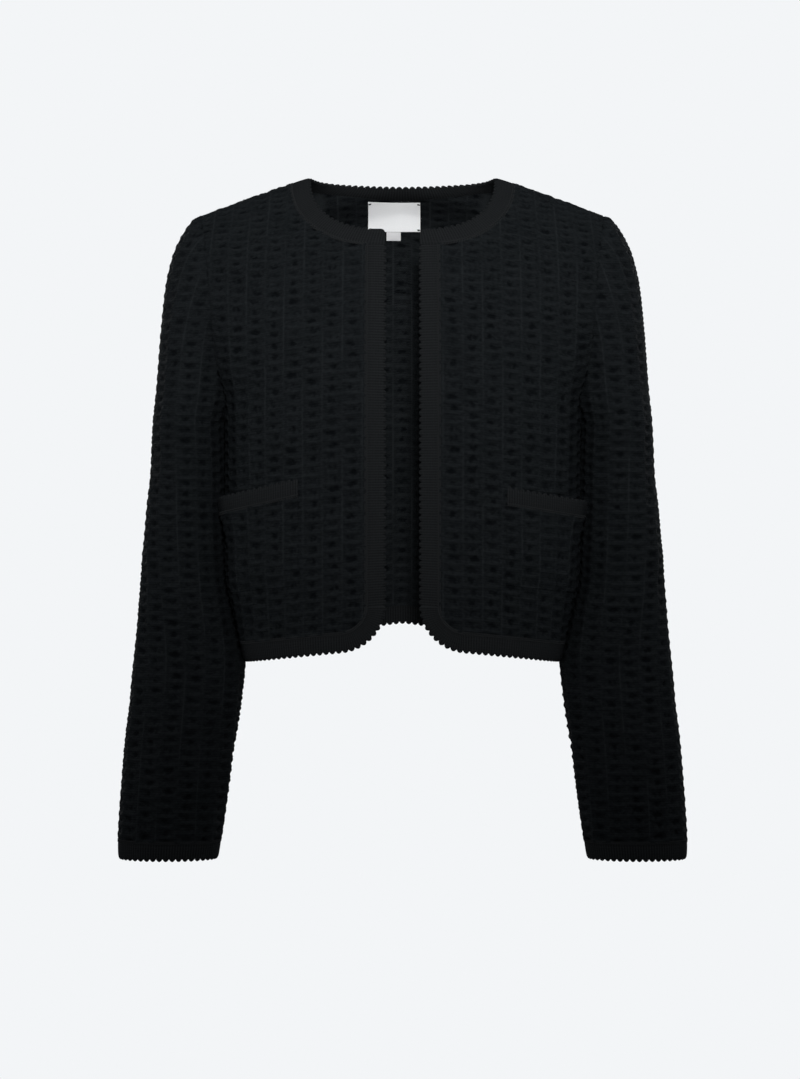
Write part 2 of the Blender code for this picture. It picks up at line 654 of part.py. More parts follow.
def build_neck_band(front, back, front_lines, back_lines):
    """One band from the left front edge round the back of the neck to the right front edge."""
    front_seam, front_edge = front_lines
    back_seam, back_edge = back_lines
    around_seam = np.concatenate((back_seam[::-1], mirrored(back_seam[1:])))
    around_edge = np.concatenate((back_edge[::-1], mirrored(back_edge[1:])))
    picot_band("neck_band", [
        (front, front_seam, front_edge),
        (back, around_seam, around_edge),
        (front, mirrored(front_seam[::-1]), mirrored(front_edge[::-1])),
    ])


def build_pocket(side, sign, mouth_inner_z, mouth_outer_z, front):
    """A patch on the front with a picot band along its mouth, standing off at its outer end."""
    ends = np.array((POCKET_INNER_S, POCKET_OUTER_S))
    mouth_t = np.array([t_at_height(front, s, z) for s, z in zip(ends, (mouth_inner_z, mouth_outer_z))])

    def mouth(s):
        return np.interp(np.abs(s), ends, mouth_t)

    def lift(s, t):
        outward = smooth_step((np.abs(s) - ends[0]) / (ends[1] - ends[0])) ** 2
        upward = smooth_step((t - mouth(s)) / GAPE_REACH + 1.0)
        return POCKET_LIFT + WALL + POCKET_GAPE * outward * upward

    def level(share):
        return lambda s: POCKET_BOTTOM_T + share * (
            mouth(s) - POCKET_BAND_WIDTH - SEAM_GAP - POCKET_BOTTOM_T)

    sections = [(level(share), ends[0], ends[1], RIB_PITCH) for share in (0.0, 0.3, 0.55, 0.8, 1.0)]
    ribbed_panel("pocket_" + side, front, sections, lift=lift, sign=sign)
    edge = np.stack((ends, mouth_t), axis=1)
    seam = edge - (0.0, POCKET_BAND_WIDTH)
    picot_band("pocket_band_" + side, [(front, seam * (sign, 1.0), edge * (sign, 1.0))], lift=lift)


def build_flat_piece(name, sheet, span, heights, colour):
    """A thin rectangle of woven tape on the inside of a panel, with level edges."""
    outer_rows = []
    inner_rows = []
    s = np.linspace(span[0], span[1], 7)
    for z in np.linspace(heights[0], heights[1], 5):
        t = np.array([t_at_height(sheet, place, z) for place in s])
        lifts = (-WALL - LABEL_GAP, -WALL - LABEL_GAP - LABEL_THICKNESS)
        for stack, lift in zip((outer_rows, inner_rows), lifts):
            stack.append(list(zip(s, sheet.point(s, t, np.full(7, lift)))))
    new_object(name, wall_mesh(outer_rows, inner_rows, 0), colour, 0.6)


def build_jacket():
    front = torso_sheet(FRONT_PROFILE, 1, facing=-1.0)
    back = torso_sheet(BACK_PROFILE, 2, facing=1.0)
    sleeve = sleeve_sheet()

    seam_x, seam_z = front_neck_curve(NECK_SEAM_RADII)
    edge_x, edge_z = front_neck_curve(NECK_EDGE_RADII)
    front_lines = to_cloth(front, seam_x, seam_z), to_cloth(front, edge_x, edge_z)
    back_lines = (to_cloth(back, *back_neck_curve(BACK_NECK_SEAM_Z, seam_x[-1])),
                  to_cloth(back, *back_neck_curve(BACK_NECK_Z, edge_x[-1])))

    build_back(back, back_lines[0])
    build_back_hem_band(back)
    build_neck_band(front, back, front_lines, back_lines)
    for side, sign, mouth_inner_z, mouth_outer_z in POCKETS:
        build_front("front_" + side, sign, front, front_lines[0])
        build_front_band("front_band_" + side, sign, front, front_lines[0])
        build_pocket(side, sign, mouth_inner_z, mouth_outer_z, front)
        build_sleeve("sleeve_" + side, sign, sleeve)
        build_cuff_band("cuff_band_" + side, sign, sleeve)
    build_flat_piece("label", back, LABEL_SPAN, LABEL_HEIGHTS, LABEL_COLOUR)
    build_flat_piece("care_tab", back, TAB_SPAN, TAB_HEIGHTS, TAB_COLOUR)


for old in list(bpy.data.objects):
    bpy.data.objects.remove(old, do_unlink=True)
collection = bpy.data.collections.new(COLLECTION)
bpy.context.scene.collection.children.link(collection)
build_jacket()
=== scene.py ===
"""Cropped open-front knit jacket, filled out with no wearer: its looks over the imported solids.

Sizes of the cloth are in millimetres and are turned into metres when a mesh is made.
+X is the wearer's left, -Y the front, +Z up, the origin between the shoulder seams' neck ends.
"""

import math

import bmesh
import bpy
import numpy as np
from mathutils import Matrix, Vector


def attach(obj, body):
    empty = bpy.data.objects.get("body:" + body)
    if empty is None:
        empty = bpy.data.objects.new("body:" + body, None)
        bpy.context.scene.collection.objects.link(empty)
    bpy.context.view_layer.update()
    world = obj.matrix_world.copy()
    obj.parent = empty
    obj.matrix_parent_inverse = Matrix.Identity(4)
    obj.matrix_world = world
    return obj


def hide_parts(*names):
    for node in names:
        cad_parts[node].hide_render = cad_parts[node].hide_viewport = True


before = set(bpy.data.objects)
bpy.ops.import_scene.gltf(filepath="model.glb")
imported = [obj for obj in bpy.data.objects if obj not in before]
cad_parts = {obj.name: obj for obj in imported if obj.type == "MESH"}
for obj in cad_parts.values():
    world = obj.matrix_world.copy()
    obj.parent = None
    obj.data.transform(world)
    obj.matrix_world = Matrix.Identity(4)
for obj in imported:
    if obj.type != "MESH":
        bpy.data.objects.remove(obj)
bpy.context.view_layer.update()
scene = bpy.context.scene
MM = 0.001

# ---------------------------------------------------------------- studio
# A pale seamless sheet behind and below the jacket, a lamp above the camera aimed at the neck,
# so that the light fades towards the cuffs, and soft lights from the top, the sides and behind.
scene.view_settings.view_transform = "Standard"

camera = bpy.data.objects.new("camera", bpy.data.cameras.new("camera"))
scene.collection.objects.link(camera)
camera.location = (-0.0024, -2.8, -0.3415)
camera.rotation_euler = (math.radians(90), 0.0, 0.0)
camera.data.lens = 98.3
camera.data.sensor_width = 36.0
camera.data.clip_end = 30.0
scene.camera = camera

PAPER_TONE = (0.896, 0.913, 0.930, 1.0)


def feed(tree, node, inputs):
    """Gives each named input of a node its value, or links it to a socket."""
    for name, value in inputs.items():
        if isinstance(value, bpy.types.NodeSocket):
            tree.links.new(value, node.inputs[name])
        else:
            node.inputs[name].default_value = value


def add_node(tree, kind, inputs=None, **settings):
    node = tree.nodes.new("ShaderNode" + kind)
    for setting, value in settings.items():
        setattr(node, setting, value)
    feed(tree, node, inputs or {})
    return node


# the camera sees the room as pale as the paper, and the jacket gets only its dim, even light
world = bpy.data.worlds.new("studio")
world.use_nodes = True
air = world.node_tree
dim_room = air.nodes["Background"]
feed(air, dim_room, {"Color": (0.93, 0.965, 1.0, 1.0), "Strength": 0.13})
pale_room = add_node(air, "Background", {"Color": PAPER_TONE})
seen = add_node(air, "LightPath").outputs["Is Camera Ray"]
either_room = add_node(air, "MixShader", {"Fac": seen, 1: dim_room.outputs["Background"],
                                          2: pale_room.outputs["Background"]})
feed(air, air.nodes["World Output"], {"Surface": either_room.outputs["Shader"]})
scene.world = world


def aimed_light(name, kind, place, target, **settings):
    """A lamp that points at the target. The camera doesn't see the soft ones."""
    light = bpy.data.objects.new(name, bpy.data.lights.new(name, kind))
    for setting, value in settings.items():
        setattr(light.data, setting, value)
    light.location = place
    light.rotation_euler = (Vector(target) - Vector(place)).to_track_quat("-Z", "Y").to_euler()
    light.visible_camera = kind != "AREA"
    scene.collection.objects.link(light)


for name, place, target, width, height, power in (
        ("soft_top", (0.0, -0.9, 0.9), (0.0, 0.0, -0.1), 1.6, 0.6, 8),
        ("soft_left", (-1.9, -0.2, 0.1), (0.0, 0.0, -0.2), 0.8, 1.0, 9),
        ("soft_right", (1.9, -0.2, 0.5), (0.0, 0.0, -0.1), 0.8, 1.0, 9),
        ("behind_left", (-1.2, 1.7, 0.3), (0.0, 0.1, -0.25), 0.9, 0.9, 15),
        ("behind_right", (1.2, 1.7, 0.3), (0.0, 0.1, -0.25), 0.9, 0.9, 15)):
    aimed_light(name, "AREA", place, target, shape="RECTANGLE", size=width, size_y=height, energy=power)
aimed_light("front_lamp", "SPOT", (0.1, -2.9, 0.25), (0.0, 0.0, 0.065), energy=345,
            spot_size=math.radians(28.4), spot_blend=1.0, shadow_soft_size=0.16)

FLOOR_Z = -0.95
SWEEP_RADIUS = 1.2


def mixed(tree, share, first, second):
    """The colour that lies at a share of the way from the first to the second."""
    mix = add_node(tree, "Mix", {"Factor": share, "A": first, "B": second}, data_type="RGBA")
    return mix.outputs["Result"]


def new_material(name, inputs):
    """A material whose shader has the given inputs, its node tree and its shader."""
    material = bpy.data.materials.new(name)
    material.use_nodes = True
    shader = material.node_tree.nodes["Principled BSDF"]
    feed(material.node_tree, shader, inputs)
    return material, material.node_tree, shader


def mesh_object(name, bm, material):
    """A smooth object of one material from a finished bmesh."""
    mesh = bpy.data.meshes.new(name)
    bm.to_mesh(mesh)
    bm.free()
    mesh.shade_smooth()
    mesh.materials.append(material)
    piece = bpy.data.objects.new(name, mesh)
    scene.collection.objects.link(piece)
    return piece


# lit evenly from behind: the camera sees one pale tone, and the jacket gets only a soft bounce
paper, tree, shader = new_material("studio_paper", {"Roughness": 1.0, "Specular IOR Level": 0.0,
                                                    "Emission Color": PAPER_TONE})
seen = add_node(tree, "LightPath").outputs["Is Camera Ray"]
bounce = mixed(tree, seen, (0.45, 0.46, 0.47, 1.0), (0.0, 0.0, 0.0, 1.0))
feed(tree, shader, {"Emission Strength": seen, "Base Color": bounce})

bm = bmesh.new()
bmesh.ops.create_grid(bm, x_segments=1, y_segments=1, size=6.0)
bmesh.ops.translate(bm, verts=bm.verts, vec=(0.0, -3.6, FLOOR_Z))
far_edge = [e for e in bm.edges if all(v.co.y > 0 for v in e.verts)]
bmesh.ops.spin(bm, geom=far_edge, cent=(0.0, 2.4, FLOOR_Z + SWEEP_RADIUS), axis=(1, 0, 0),
               angle=math.radians(90), steps=16, use_merge=False)
top_edge = [e for e in bm.edges if all(v.co.z > FLOOR_Z + SWEEP_RADIUS - 0.01 for v in e.verts)]
raised = bmesh.ops.extrude_edge_only(bm, edges=top_edge)
bmesh.ops.translate(bm, verts=[v for v in raised["geom"] if isinstance(v, bmesh.types.BMVert)],
                    vec=(0.0, 0.0, 4.0))
sweep = mesh_object("studio_sweep", bm, paper)

# ---------------------------------------------------------------- back panel
# One knit panel of soft wool-blend yarn: raised vertical ribs, and between them a ladder of
# thread bars with small pits. It is knitted to shape and linked to the other panels at its edges.
WALL = 2.4
SEAM_GAP = 0.3
SEAM_TUCK = 0.5        # how far a panel's edge lies between the two layers of a band
RIB_PITCH = 18.5
RIB_RISE = 0.84
BAR_RISE = 1.25
THREAD_RISE = 0.4
NOTCH_DEPTH = 0.5
PIT_DEPTH = 1.2
FIRST_BAR = -20.8      # below the lower line, so that the first pits lie under the band
BAR_LEAN = 0.01        # a bar climbs this much for each millimetre across
BAND_WIDTH = 18.0
SHOULDER_TIP_Z = -35.5
UNDERARM_Z = -226.0
HEM_SIDE_Z = -456.0
BELOW_HEM = 5.0
ARMHOLE_HALF_DEPTH = 60.0
ARMHOLE_POWER = 2.2
ARMHOLE_CURVE_RISE = 45.0
ARMHOLE_MIDDLE_Z = (SHOULDER_TIP_Z + UNDERARM_Z) / 2
ARMHOLE_HALF_HEIGHT = (SHOULDER_TIP_Z - UNDERARM_Z) / 2
CHEST_DEPTH = 101.0
ROW_DROOP_POWER = 1.3
SHOULDER_BLEND = (-165.0, -85.0)
SOFT_TURN_POWER = 0.9
BACK_NECK_Z = -1.5
BACK_NECK_SEAM_Z = -12.0
SHOWN_INSIDE = 75.0     # how far from the middle the inside shows at the neck and between the fronts

# side height, half width
TORSO_WIDTH = (
    (-462.0, 148.5), (-440.0, 153.0), (-423.0, 156.5), (-403.0, 161.0),
    (-384.0, 165.5), (-365.0, 167.0), (-326.0, 167.5), (-265.0, 167.0),
    (-226.0, 167.5), (-187.0, 172.0), (-163.0, 175.0), (-108.0, 180.0),
    (-60.0, 186.0), (-35.5, 190.0),
)
# side height, droop of the front row, droop of the back row, squareness seen from above
ROW_FORM = (
    (-462.0, 15.0, 33.0, 2.4), (-340.0, 16.0, 31.0, 2.4), (-226.0, 19.0, 30.0, 2.95),
    (-190.0, 24.0, 33.0, 2.85), (-150.0, 31.0, 42.0, 2.6), (-115.0, 38.0, 51.0, 2.4),
    (-80.0, 46.0, 57.0, 2.4), (-55.0, 54.0, 58.3, 2.4), (-35.5, 58.5, 58.5, 2.4),
)
# height on the middle line, depth behind the shoulder line
BACK_PROFILE = (
    (-432.0, 97.0), (-340.0, 96.0), (-260.0, 97.0), (-180.0, 101.0),
    (-120.0, 99.0), (-60.0, 88.0), (-25.0, 72.0), (-12.0, 59.0),
    (-4.0, 49.0), (6.0, 43.0), (15.0, 36.0), (20.0, 24.0), (23.0, 0.0),
)
# height up the cloth, distance between two bars of the ladder
BAR_SPACING = ((0.0, 10.4), (160.0, 9.9), (300.0, 8.9), (470.0, 8.7))


def curve_through(table, column, at):
    """Smooth curve without overshoot through one column of a table, keyed by column 0."""
    rows = np.array(sorted(table))
    knots = rows[:, 0]
    values = rows[:, column]
    step = np.diff(knots)
    slope = np.diff(values) / step
    tangent = np.zeros(len(knots))
    tangent[0] = slope[0]
    tangent[-1] = slope[-1]
    for i in range(1, len(knots) - 1):
        if slope[i - 1] * slope[i] > 0:
            before = 2 * step[i] + step[i - 1]
            after = step[i] + 2 * step[i - 1]
            tangent[i] = (before + after) / (before / slope[i - 1] + after / slope[i])
    at = np.clip(np.asarray(at, float), knots[0], knots[-1])
    i = np.clip(np.searchsorted(knots, at) - 1, 0, len(step) - 1)
    u = (at - knots[i]) / step[i]
    return ((2 * u**3 - 3 * u**2 + 1) * values[i] + (u**3 - 2 * u**2 + u) * step[i] * tangent[i]
            + (3 * u**2 - 2 * u**3) * values[i + 1] + (u**3 - u**2) * step[i] * tangent[i + 1])


def signed_power(value, power):
    return np.sign(value) * np.abs(value) ** power


def smooth_step(value):
    value = np.clip(value, 0.0, 1.0)
    return value * value * (3.0 - 2.0 * value)


def armhole_half_depth(z):
    level = np.clip(np.abs(z - ARMHOLE_MIDDLE_Z) / ARMHOLE_HALF_HEIGHT, 0.0, 1.0)
    return ARMHOLE_HALF_DEPTH * (1.0 - level**ARMHOLE_POWER) ** (1.0 / ARMHOLE_POWER)


def armhole_heights(count):
    angle = np.linspace(math.pi, 0.0, count)
    return ARMHOLE_MIDDLE_Z + ARMHOLE_HALF_HEIGHT * signed_power(np.cos(angle), 2.0 / ARMHOLE_POWER)


def torso_half_width(z):
    measured = curve_through(TORSO_WIDTH, 1, z)
    squareness = curve_through(ROW_FORM, 3, z)
    open_share = armhole_half_depth(z) / CHEST_DEPTH * (np.asarray(z) > UNDERARM_Z)
    cut_short = measured * (1.0 - open_share**squareness) ** (1.0 / squareness)
    blend = smooth_step((np.asarray(z) - UNDERARM_Z) / ARMHOLE_CURVE_RISE)
    return cut_short + (measured - cut_short) * blend


def travelled_along(path):
    """Distance along a path from its start to each of its points."""
    return np.append(0.0, np.cumsum(np.linalg.norm(np.diff(path, axis=0), axis=1)))


def spread(path, shares):
    """Points of a path at the given shares of its length."""
    path = np.asarray(path, float)
    travelled = travelled_along(path)
    where = np.asarray(shares) * travelled[-1]
    return np.stack([np.interp(where, travelled, column) for column in path.T], axis=1)


class Sheet:
    """A curved sheet of cloth in rows: s runs across from its middle, t up from its lower line."""

    SAMPLES = 241
    GUIDE_S = 100.0
    SLOPE_STEP = 3.0

    def __init__(self, rows, heights, zero_height, outward, folds):
        self.points = np.array([spread(row, np.linspace(0.0, 1.0, self.SAMPLES)) for row in rows])
        self.heights = np.asarray(heights)
        self.lengths = np.linalg.norm(np.diff(self.points, axis=1), axis=2).sum(axis=1)
        self.t_rows = self.measured_up(zero_height)
        self.normals = outward * self.find_normals()
        self.folds = folds
        self.droop = None

    def measured_up(self, zero_height):
        place = (self.GUIDE_S / self.lengths + 0.5) * (self.SAMPLES - 1)
        samples = np.arange(self.SAMPLES)
        guide = np.array([[np.interp(p, samples, column) for column in row.T]
                          for p, row in zip(place, self.points)])
        travelled = travelled_along(guide)
        return travelled - np.interp(zero_height, self.heights, travelled)

    def find_normals(self):
        share = np.linspace(-0.5, 0.5, self.SAMPLES)
        s = share[None, :] * self.lengths[:, None]
        t = self.t_rows[:, None]
        above = np.minimum(t + self.SLOPE_STEP, self.t_rows[-1])
        below = np.maximum(t - self.SLOPE_STEP, self.t_rows[0])
        along = self.read(self.points, s, above) - self.read(self.points, s, below)
        normals = np.cross(np.gradient(self.points, axis=1), along)
        return normals / np.linalg.norm(normals, axis=2, keepdims=True)

    def t_at(self, height):
        return float(np.interp(height, self.heights, self.t_rows))

    def half_length(self, t):
        return np.interp(t, self.t_rows, self.lengths) / 2

    def ends(self, t):
        """The lowest and the highest s of a row."""
        half = float(self.half_length(t))
        return -half, half

    def course(self, s, t):
        """How far up its own course the knit is; a torso's courses follow the hem, then lie level."""
        if self.droop is None:
            return t
        out = np.abs(s) / self.half_length(t)
        hem_share = 1.0 - smooth_step(t / 260.0)
        fall = np.interp(t, self.t_rows, self.droop) - hem_share * np.interp(0.0, self.t_rows, self.droop)
        return t - fall * out**ROW_DROOP_POWER

    def read(self, grid, s, t):
        s, t = np.broadcast_arrays(np.asarray(s, float), np.asarray(t, float))
        row = np.interp(t, self.t_rows, np.arange(len(self.t_rows)))
        length = np.interp(row, np.arange(len(self.lengths)), self.lengths)
        column = np.clip(s / length + 0.5, 0.0, 1.0) * (self.SAMPLES - 1)
        i = np.minimum(row.astype(int), len(self.t_rows) - 2)
        j = np.minimum(column.astype(int), self.SAMPLES - 2)
        u = (row - i)[..., None]
        v = (column - j)[..., None]
        lower = grid[i, j] * (1 - v) + grid[i, j + 1] * v
        upper = grid[i + 1, j] * (1 - v) + grid[i + 1, j + 1] * v
        return lower * (1 - u) + upper * u

    def point(self, s, t, lift=0.0):
        normal = self.read(self.normals, s, t)
        normal = normal / np.linalg.norm(normal, axis=-1, keepdims=True)
        lift = np.asarray(lift) + self.folds(np.asarray(s, float), np.asarray(t, float))
        return self.read(self.points, s, t) + normal * lift[..., None]


def torso_sheet(profile, droop_column, facing, folds):
    side = np.linspace(HEM_SIDE_Z - BELOW_HEM, UNDERARM_Z, 70, endpoint=False)
    heights = np.concatenate((side, armhole_heights(120)))
    width = torso_half_width(heights)
    droop = curve_through(ROW_FORM, droop_column, heights)
    squareness = curve_through(ROW_FORM, 3, heights)
    middle_z = heights + droop
    depth = curve_through(profile, 1, middle_z)
    end_depth = np.where(heights > UNDERARM_Z, armhole_half_depth(heights), 0.0)
    turn = np.linspace(-math.pi / 2, math.pi / 2, 481)
    low, high = SHOULDER_BLEND
    shoulder_share = smooth_step((heights - low) / (high - low))
    rows = []
    for i in range(len(heights)):
        power = squareness[i]
        across = signed_power(np.sin(turn), 2.0 / power)
        cut = min(end_depth[i] / max(depth[i], 1.0), 0.95)
        wider = (1.0 - cut**power) ** (1.0 / power)
        chest = depth[i] * (1.0 - np.abs(across * wider) ** power).clip(0.0) ** (1.0 / power)
        bulge = (1.0 - np.abs(across) ** power).clip(0.0) ** SOFT_TURN_POWER
        shoulder = end_depth[i] + (depth[i] - end_depth[i]) * bulge
        share = shoulder_share[i]
        rows.append(np.stack((
            width[i] * across,
            facing * (chest * (1.0 - share) + shoulder * share),
            middle_z[i] - droop[i] * np.abs(across) ** ROW_DROOP_POWER,
        ), axis=1))
    sheet = Sheet(rows, heights, HEM_SIDE_Z, -facing, folds)
    sheet.droop = droop
    # the last rows turn to face straight up, so that front and back meet at the shoulder
    upright = np.array((0.5, 0.15, 0.0))
    sheet.normals[-3:, :, 1] *= upright[:, None]
    sheet.normals[-3:] /= np.linalg.norm(sheet.normals[-3:], axis=2, keepdims=True)
    return sheet


def bar_heights(top, spacing_table):
    """Heights up the cloth of the ladder's bars, from below the lower line to top."""
    heights, spacings = zip(*spacing_table)
    bars = [FIRST_BAR]
    while bars[-1] < top + 16:
        bars.append(bars[-1] + float(np.interp(bars[-1], heights, spacings)))
    return np.array(bars)


def knit_relief(s, t, bars, phase, seed):
    """Height of the outer face above the valleys, and its shade, painted into the colour: 0 in a pit
    (painted shade), 1 on cloth, 2 on a line (painted highlight).
    """
    column = s / RIB_PITCH - phase
    from_line = np.abs(column - np.round(column)) * RIB_PITCH
    cell = np.floor(column).astype(int)
    across = (column - cell - 0.5) * RIB_PITCH
    staggered = 3.3 * np.sin(2.4 * cell + seed) + 1.2 * np.sin(0.021 * t + 1.7 * cell)
    hanging = 0.9 * np.cos(np.pi * across / RIB_PITCH) + 0.35 * np.sin(0.9 * across + 0.31 * t + 2.0 * cell)
    level = t + BAR_LEAN * across + staggered + hanging
    row = np.clip(np.searchsorted(bars, level) - 1, 0, len(bars) - 2)
    spacing = bars[row + 1] - bars[row]
    uneven = np.random.default_rng(seed).uniform(-1.0, 1.0, (7, 80, len(bars)))
    shift, rise, wide, tall, deep, tilt, notched = uneven[:, (cell + 40) % 80, row]
    # a pit is a leaf-shaped, tilted hole, about 8 mm wide and 4 mm tall, and no two are alike
    beside = across + 1.9 * shift
    above = level - bars[row] - spacing / 2
    within = above + 0.7 * rise + (0.04 + 0.13 * tilt) * across + 0.4 * np.sin(0.9 * beside + 6.0 * deep)
    reach = (np.abs(beside / (4.2 + 1.7 * wide)) ** 1.9
             + np.abs(within / (spacing / 2 - 2.35 + 0.7 * tall)) ** 1.9) ** (1 / 1.9)
    pit = smooth_step((1.3 - reach) / 0.75) * np.clip(0.86 + 0.38 * deep, 0.42, 1.12)
    # a stray strand crosses some of the pits
    pit = pit * (1.0 - 0.8 * (notched > 0.4) * np.exp(-(((beside - 2.6 * tall) / 1.1) ** 2)))
    # raised bars cross from line to line, and small notches lie beside the line
    bar = smooth_step((np.abs(above) - spacing / 2 + 2.6) / 2.0)
    bar = bar * (1.0 - 0.5 * np.exp(-((from_line / 1.3) ** 2)))
    beat = np.cos(2 * np.pi * (level - 0.5 * from_line - bars[row]) / spacing)
    notch = np.exp(-(((from_line - 2.6) / 1.2) ** 2)) * smooth_step(0.4 + beat + 0.5 * shift)
    notch = notch * (0.7 + 0.3 * notched)
    thread = np.exp(-((from_line / 0.75) ** 2))
    rib = RIB_RISE * smooth_step((8.0 - from_line) / 7.0)
    line = np.round(column).astype(int)
    drawn = np.clip(0.3 + 0.5 * np.sin(0.033 * t + 2.3 * line + seed) + 0.4 * notched, 0.0, 0.9)
    height = rib + BAR_RISE * bar + THREAD_RISE * thread - NOTCH_DEPTH * notch - PIT_DEPTH * pit
    # painted shade darkens the pits and the notches, and a painted highlight lightens the raised bars
    shade = 0.84 - 0.52 * pit - 0.45 * notch * (1.0 - pit) + 0.33 * bar * (1.0 + 0.7 * tilt)
    # a painted highlight along the raised thread of each line, in broken stretches
    shade = shade + thread * (0.25 + drawn) * 0.75
    return height, shade


def inner_relief(s, t, bars, phase, seed, wall):
    """The same knit from inside: a flatter rib, and the pits seen from behind."""
    shade = knit_relief(s, t, bars, phase, seed)[1]
    column = s / RIB_PITCH - phase
    from_line = np.abs(column - np.round(column)) * RIB_PITCH
    height = 0.2 - wall - 0.35 * smooth_step((5.2 - from_line) / 3.0) - 0.3 * np.minimum(shade, 1.0)
    # inside, the painted shade in the pits is stronger, and the rest of the face is coloured lighter than
    # the outside
    return height, 1.3 - 1.7 * (1.0 - shade)


def knit_levels(bars, low, high, offsets, extra):
    """Rows of a mesh between low and high, close together at the edges of bars and pits."""
    marks = [low, high, *extra]
    for bar, spacing in zip(bars, np.diff(bars)):
        for share in offsets:
            t = bar + share * spacing
            if low + 0.4 < t < high - 0.4 and all(abs(t - e) > 0.25 for e in extra):
                marks.append(t)
    return np.array(sorted(marks))


# rows of a mesh as shares of the spacing of two bars, and columns as places from a rib's middle
FINE_LEVELS = (0.0, 0.14, 0.28, 0.42, 0.57, 0.71, 0.86)
FINEST_LEVELS = (0.0, 0.13, 0.26, 0.38, 0.5, 0.62, 0.74, 0.87)
BACK_LEVELS = (0.0, 0.16, 0.32, 0.5, 0.68, 0.84)
PLAIN_LEVELS = (0.0, 0.5)
FINE_COLUMNS = (-9.25, -6.8, -5.3, -3.6, -1.2, 0.0, 1.2, 3.6, 5.3, 6.8)
FINEST_COLUMNS = (-9.25, -7.6, -6.2, -5.0, -3.8, -2.4, -0.9, 0.0, 0.9, 2.4, 3.8, 5.0, 6.2, 7.6)
PLAIN_COLUMNS = (-9.25, -2.8, 2.8)
COARSE_COLUMNS = (-9.25, 0.0)


def columns_of(offsets, phase):
    """Places across the cloth where a mesh has a column, one set for each rib."""
    return np.array(sorted((k + phase) * RIB_PITCH + u for k in range(-24, 25) for u in offsets))


class ClothMesh:
    """Rows of corner points over a sheet, joined into one closed wall with cloth coordinates."""

    def __init__(self):
        self.points = []
        self.painted_shading = []
        self.count = 0
        self.faces = []
        self.corners = []

    def add_row(self, points, painted_shading, s, t, ring=False):
        """A row of corners as (index, s, t); on a ring the last corner is the first point."""
        shown = len(points) - (1 if ring else 0)
        self.points.append(points[:shown])
        self.painted_shading.append(painted_shading[:shown])
        index = np.arange(self.count, self.count + shown)
        self.count += shown
        if ring:
            index = np.append(index, index[0])
        return [(int(i), float(a), float(b)) for i, a, b in zip(index, s, t)]

    def add_face(self, corners):
        self.faces.append([c[0] for c in corners])
        self.corners.extend((c[1], c[2]) for c in corners)

    def zip_rows(self, lower, upper, key=1):
        """Faces between two rows; corners with equal keys make a quad, others triangles."""
        i = 0
        j = 0
        while i < len(lower) - 1 or j < len(upper) - 1:
            left = lower[i + 1][key] if i < len(lower) - 1 else math.inf
            right = upper[j + 1][key] if j < len(upper) - 1 else math.inf
            both_last = i == len(lower) - 2 and j == len(upper) - 2
            if both_last or abs(left - right) < 1e-4:
                self.add_face((lower[i], lower[i + 1], upper[j + 1], upper[j]))
                i += 1
                j += 1
            elif left < right:
                self.add_face((lower[i], lower[i + 1], upper[j]))
                i += 1
            else:
                self.add_face((lower[i], upper[j + 1], upper[j]))
                j += 1

    def add_wall(self, outer_rows, inner_rows, bottom=True, top=True, ring_top=-math.inf):
        """The two faces of a wall and what joins them; rows up to ring_top are rings without ends."""
        for rows in (outer_rows, inner_rows):
            for lower, upper in zip(rows, rows[1:]):
                self.zip_rows(lower, upper)
        if bottom:
            self.zip_rows(inner_rows[0], outer_rows[0])
        if top:
            self.zip_rows(outer_rows[-1], inner_rows[-1])
        for end in (0, -1):
            sides = [[row[end] for row in rows if row[end][2] >= ring_top - 1e-6]
                     for rows in (outer_rows, inner_rows)]
            self.zip_rows(*sides, key=2)

    def finish(self, name, material, mirror=1.0):
        points = np.concatenate(self.points) * MM * (mirror, 1.0, 1.0)
        mesh = bpy.data.meshes.new(name)
        mesh.from_pydata(points.tolist(), [], self.faces)
        cloth = mesh.uv_layers.new(name="cloth")
        cloth.data.foreach_set("uv", (np.array(self.corners) * MM).ravel())
        # each point's shade value, painted into the yarn's colour as shade in pits and grooves and as
        # highlight on lines and ribs
        painted_shading = mesh.attributes.new("painted_shading", "FLOAT", "POINT")
        painted_shading.data.foreach_set("value", np.concatenate(self.painted_shading))
        bm = bmesh.new()
        bm.from_mesh(mesh)
        bmesh.ops.recalc_face_normals(bm, faces=bm.faces)
        bm.to_mesh(mesh)
        bm.free()
        mesh.shade_smooth()
        mesh.set_sharp_from_angle(angle=math.radians(62))
        mesh.materials.append(material)
        piece = bpy.data.objects.new(name, mesh)
        scene.collection.objects.link(piece)
        return piece


class KnitCloth(ClothMesh):
    """Ladder knit over a sheet, on its +s or -s side by sign, raised off the sheet by lift(s, t).

    phase shifts the ribs by a share of their pitch, and seed sets how the knit is uneven.
    """

    def __init__(self, sheet, bars, seed, phase=0.0, sign=1.0, lift=None, wall=WALL):
        super().__init__()
        self.sheet = sheet
        self.bars = bars
        self.seed = seed
        self.phase = phase
        self.sign = sign
        self.lift = lift
        self.wall = wall

    def knit_row(self, t, low, high, columns, outer, ring=False):
        """One row of the outer or inner face, from low to high across the cloth."""
        keep = (columns > low + 0.35) & (columns < high - 0.35)
        s = np.concatenate(([low], columns[keep], [high]))
        at = np.full(len(s), t)
        knit = (s, self.sheet.course(s, at), self.bars, self.phase, self.seed)
        height, shade = knit_relief(*knit) if outer else inner_relief(*knit, self.wall)
        if outer and not ring:
            seam = smooth_step(np.minimum(s - low, high - s) / 1.8 + 0.35)
            height = height * (0.7 + 0.3 * seam)
            # painted shade: the cloth's colour darkens towards a panel's cut edges, where it meets the next
            # piece
            shade = shade * (0.55 + 0.45 * seam)
        if self.lift is not None:
            height = height + self.lift(s, at)
        return self.add_row(self.sheet.point(self.sign * s, at, height), shade, s, at, ring)


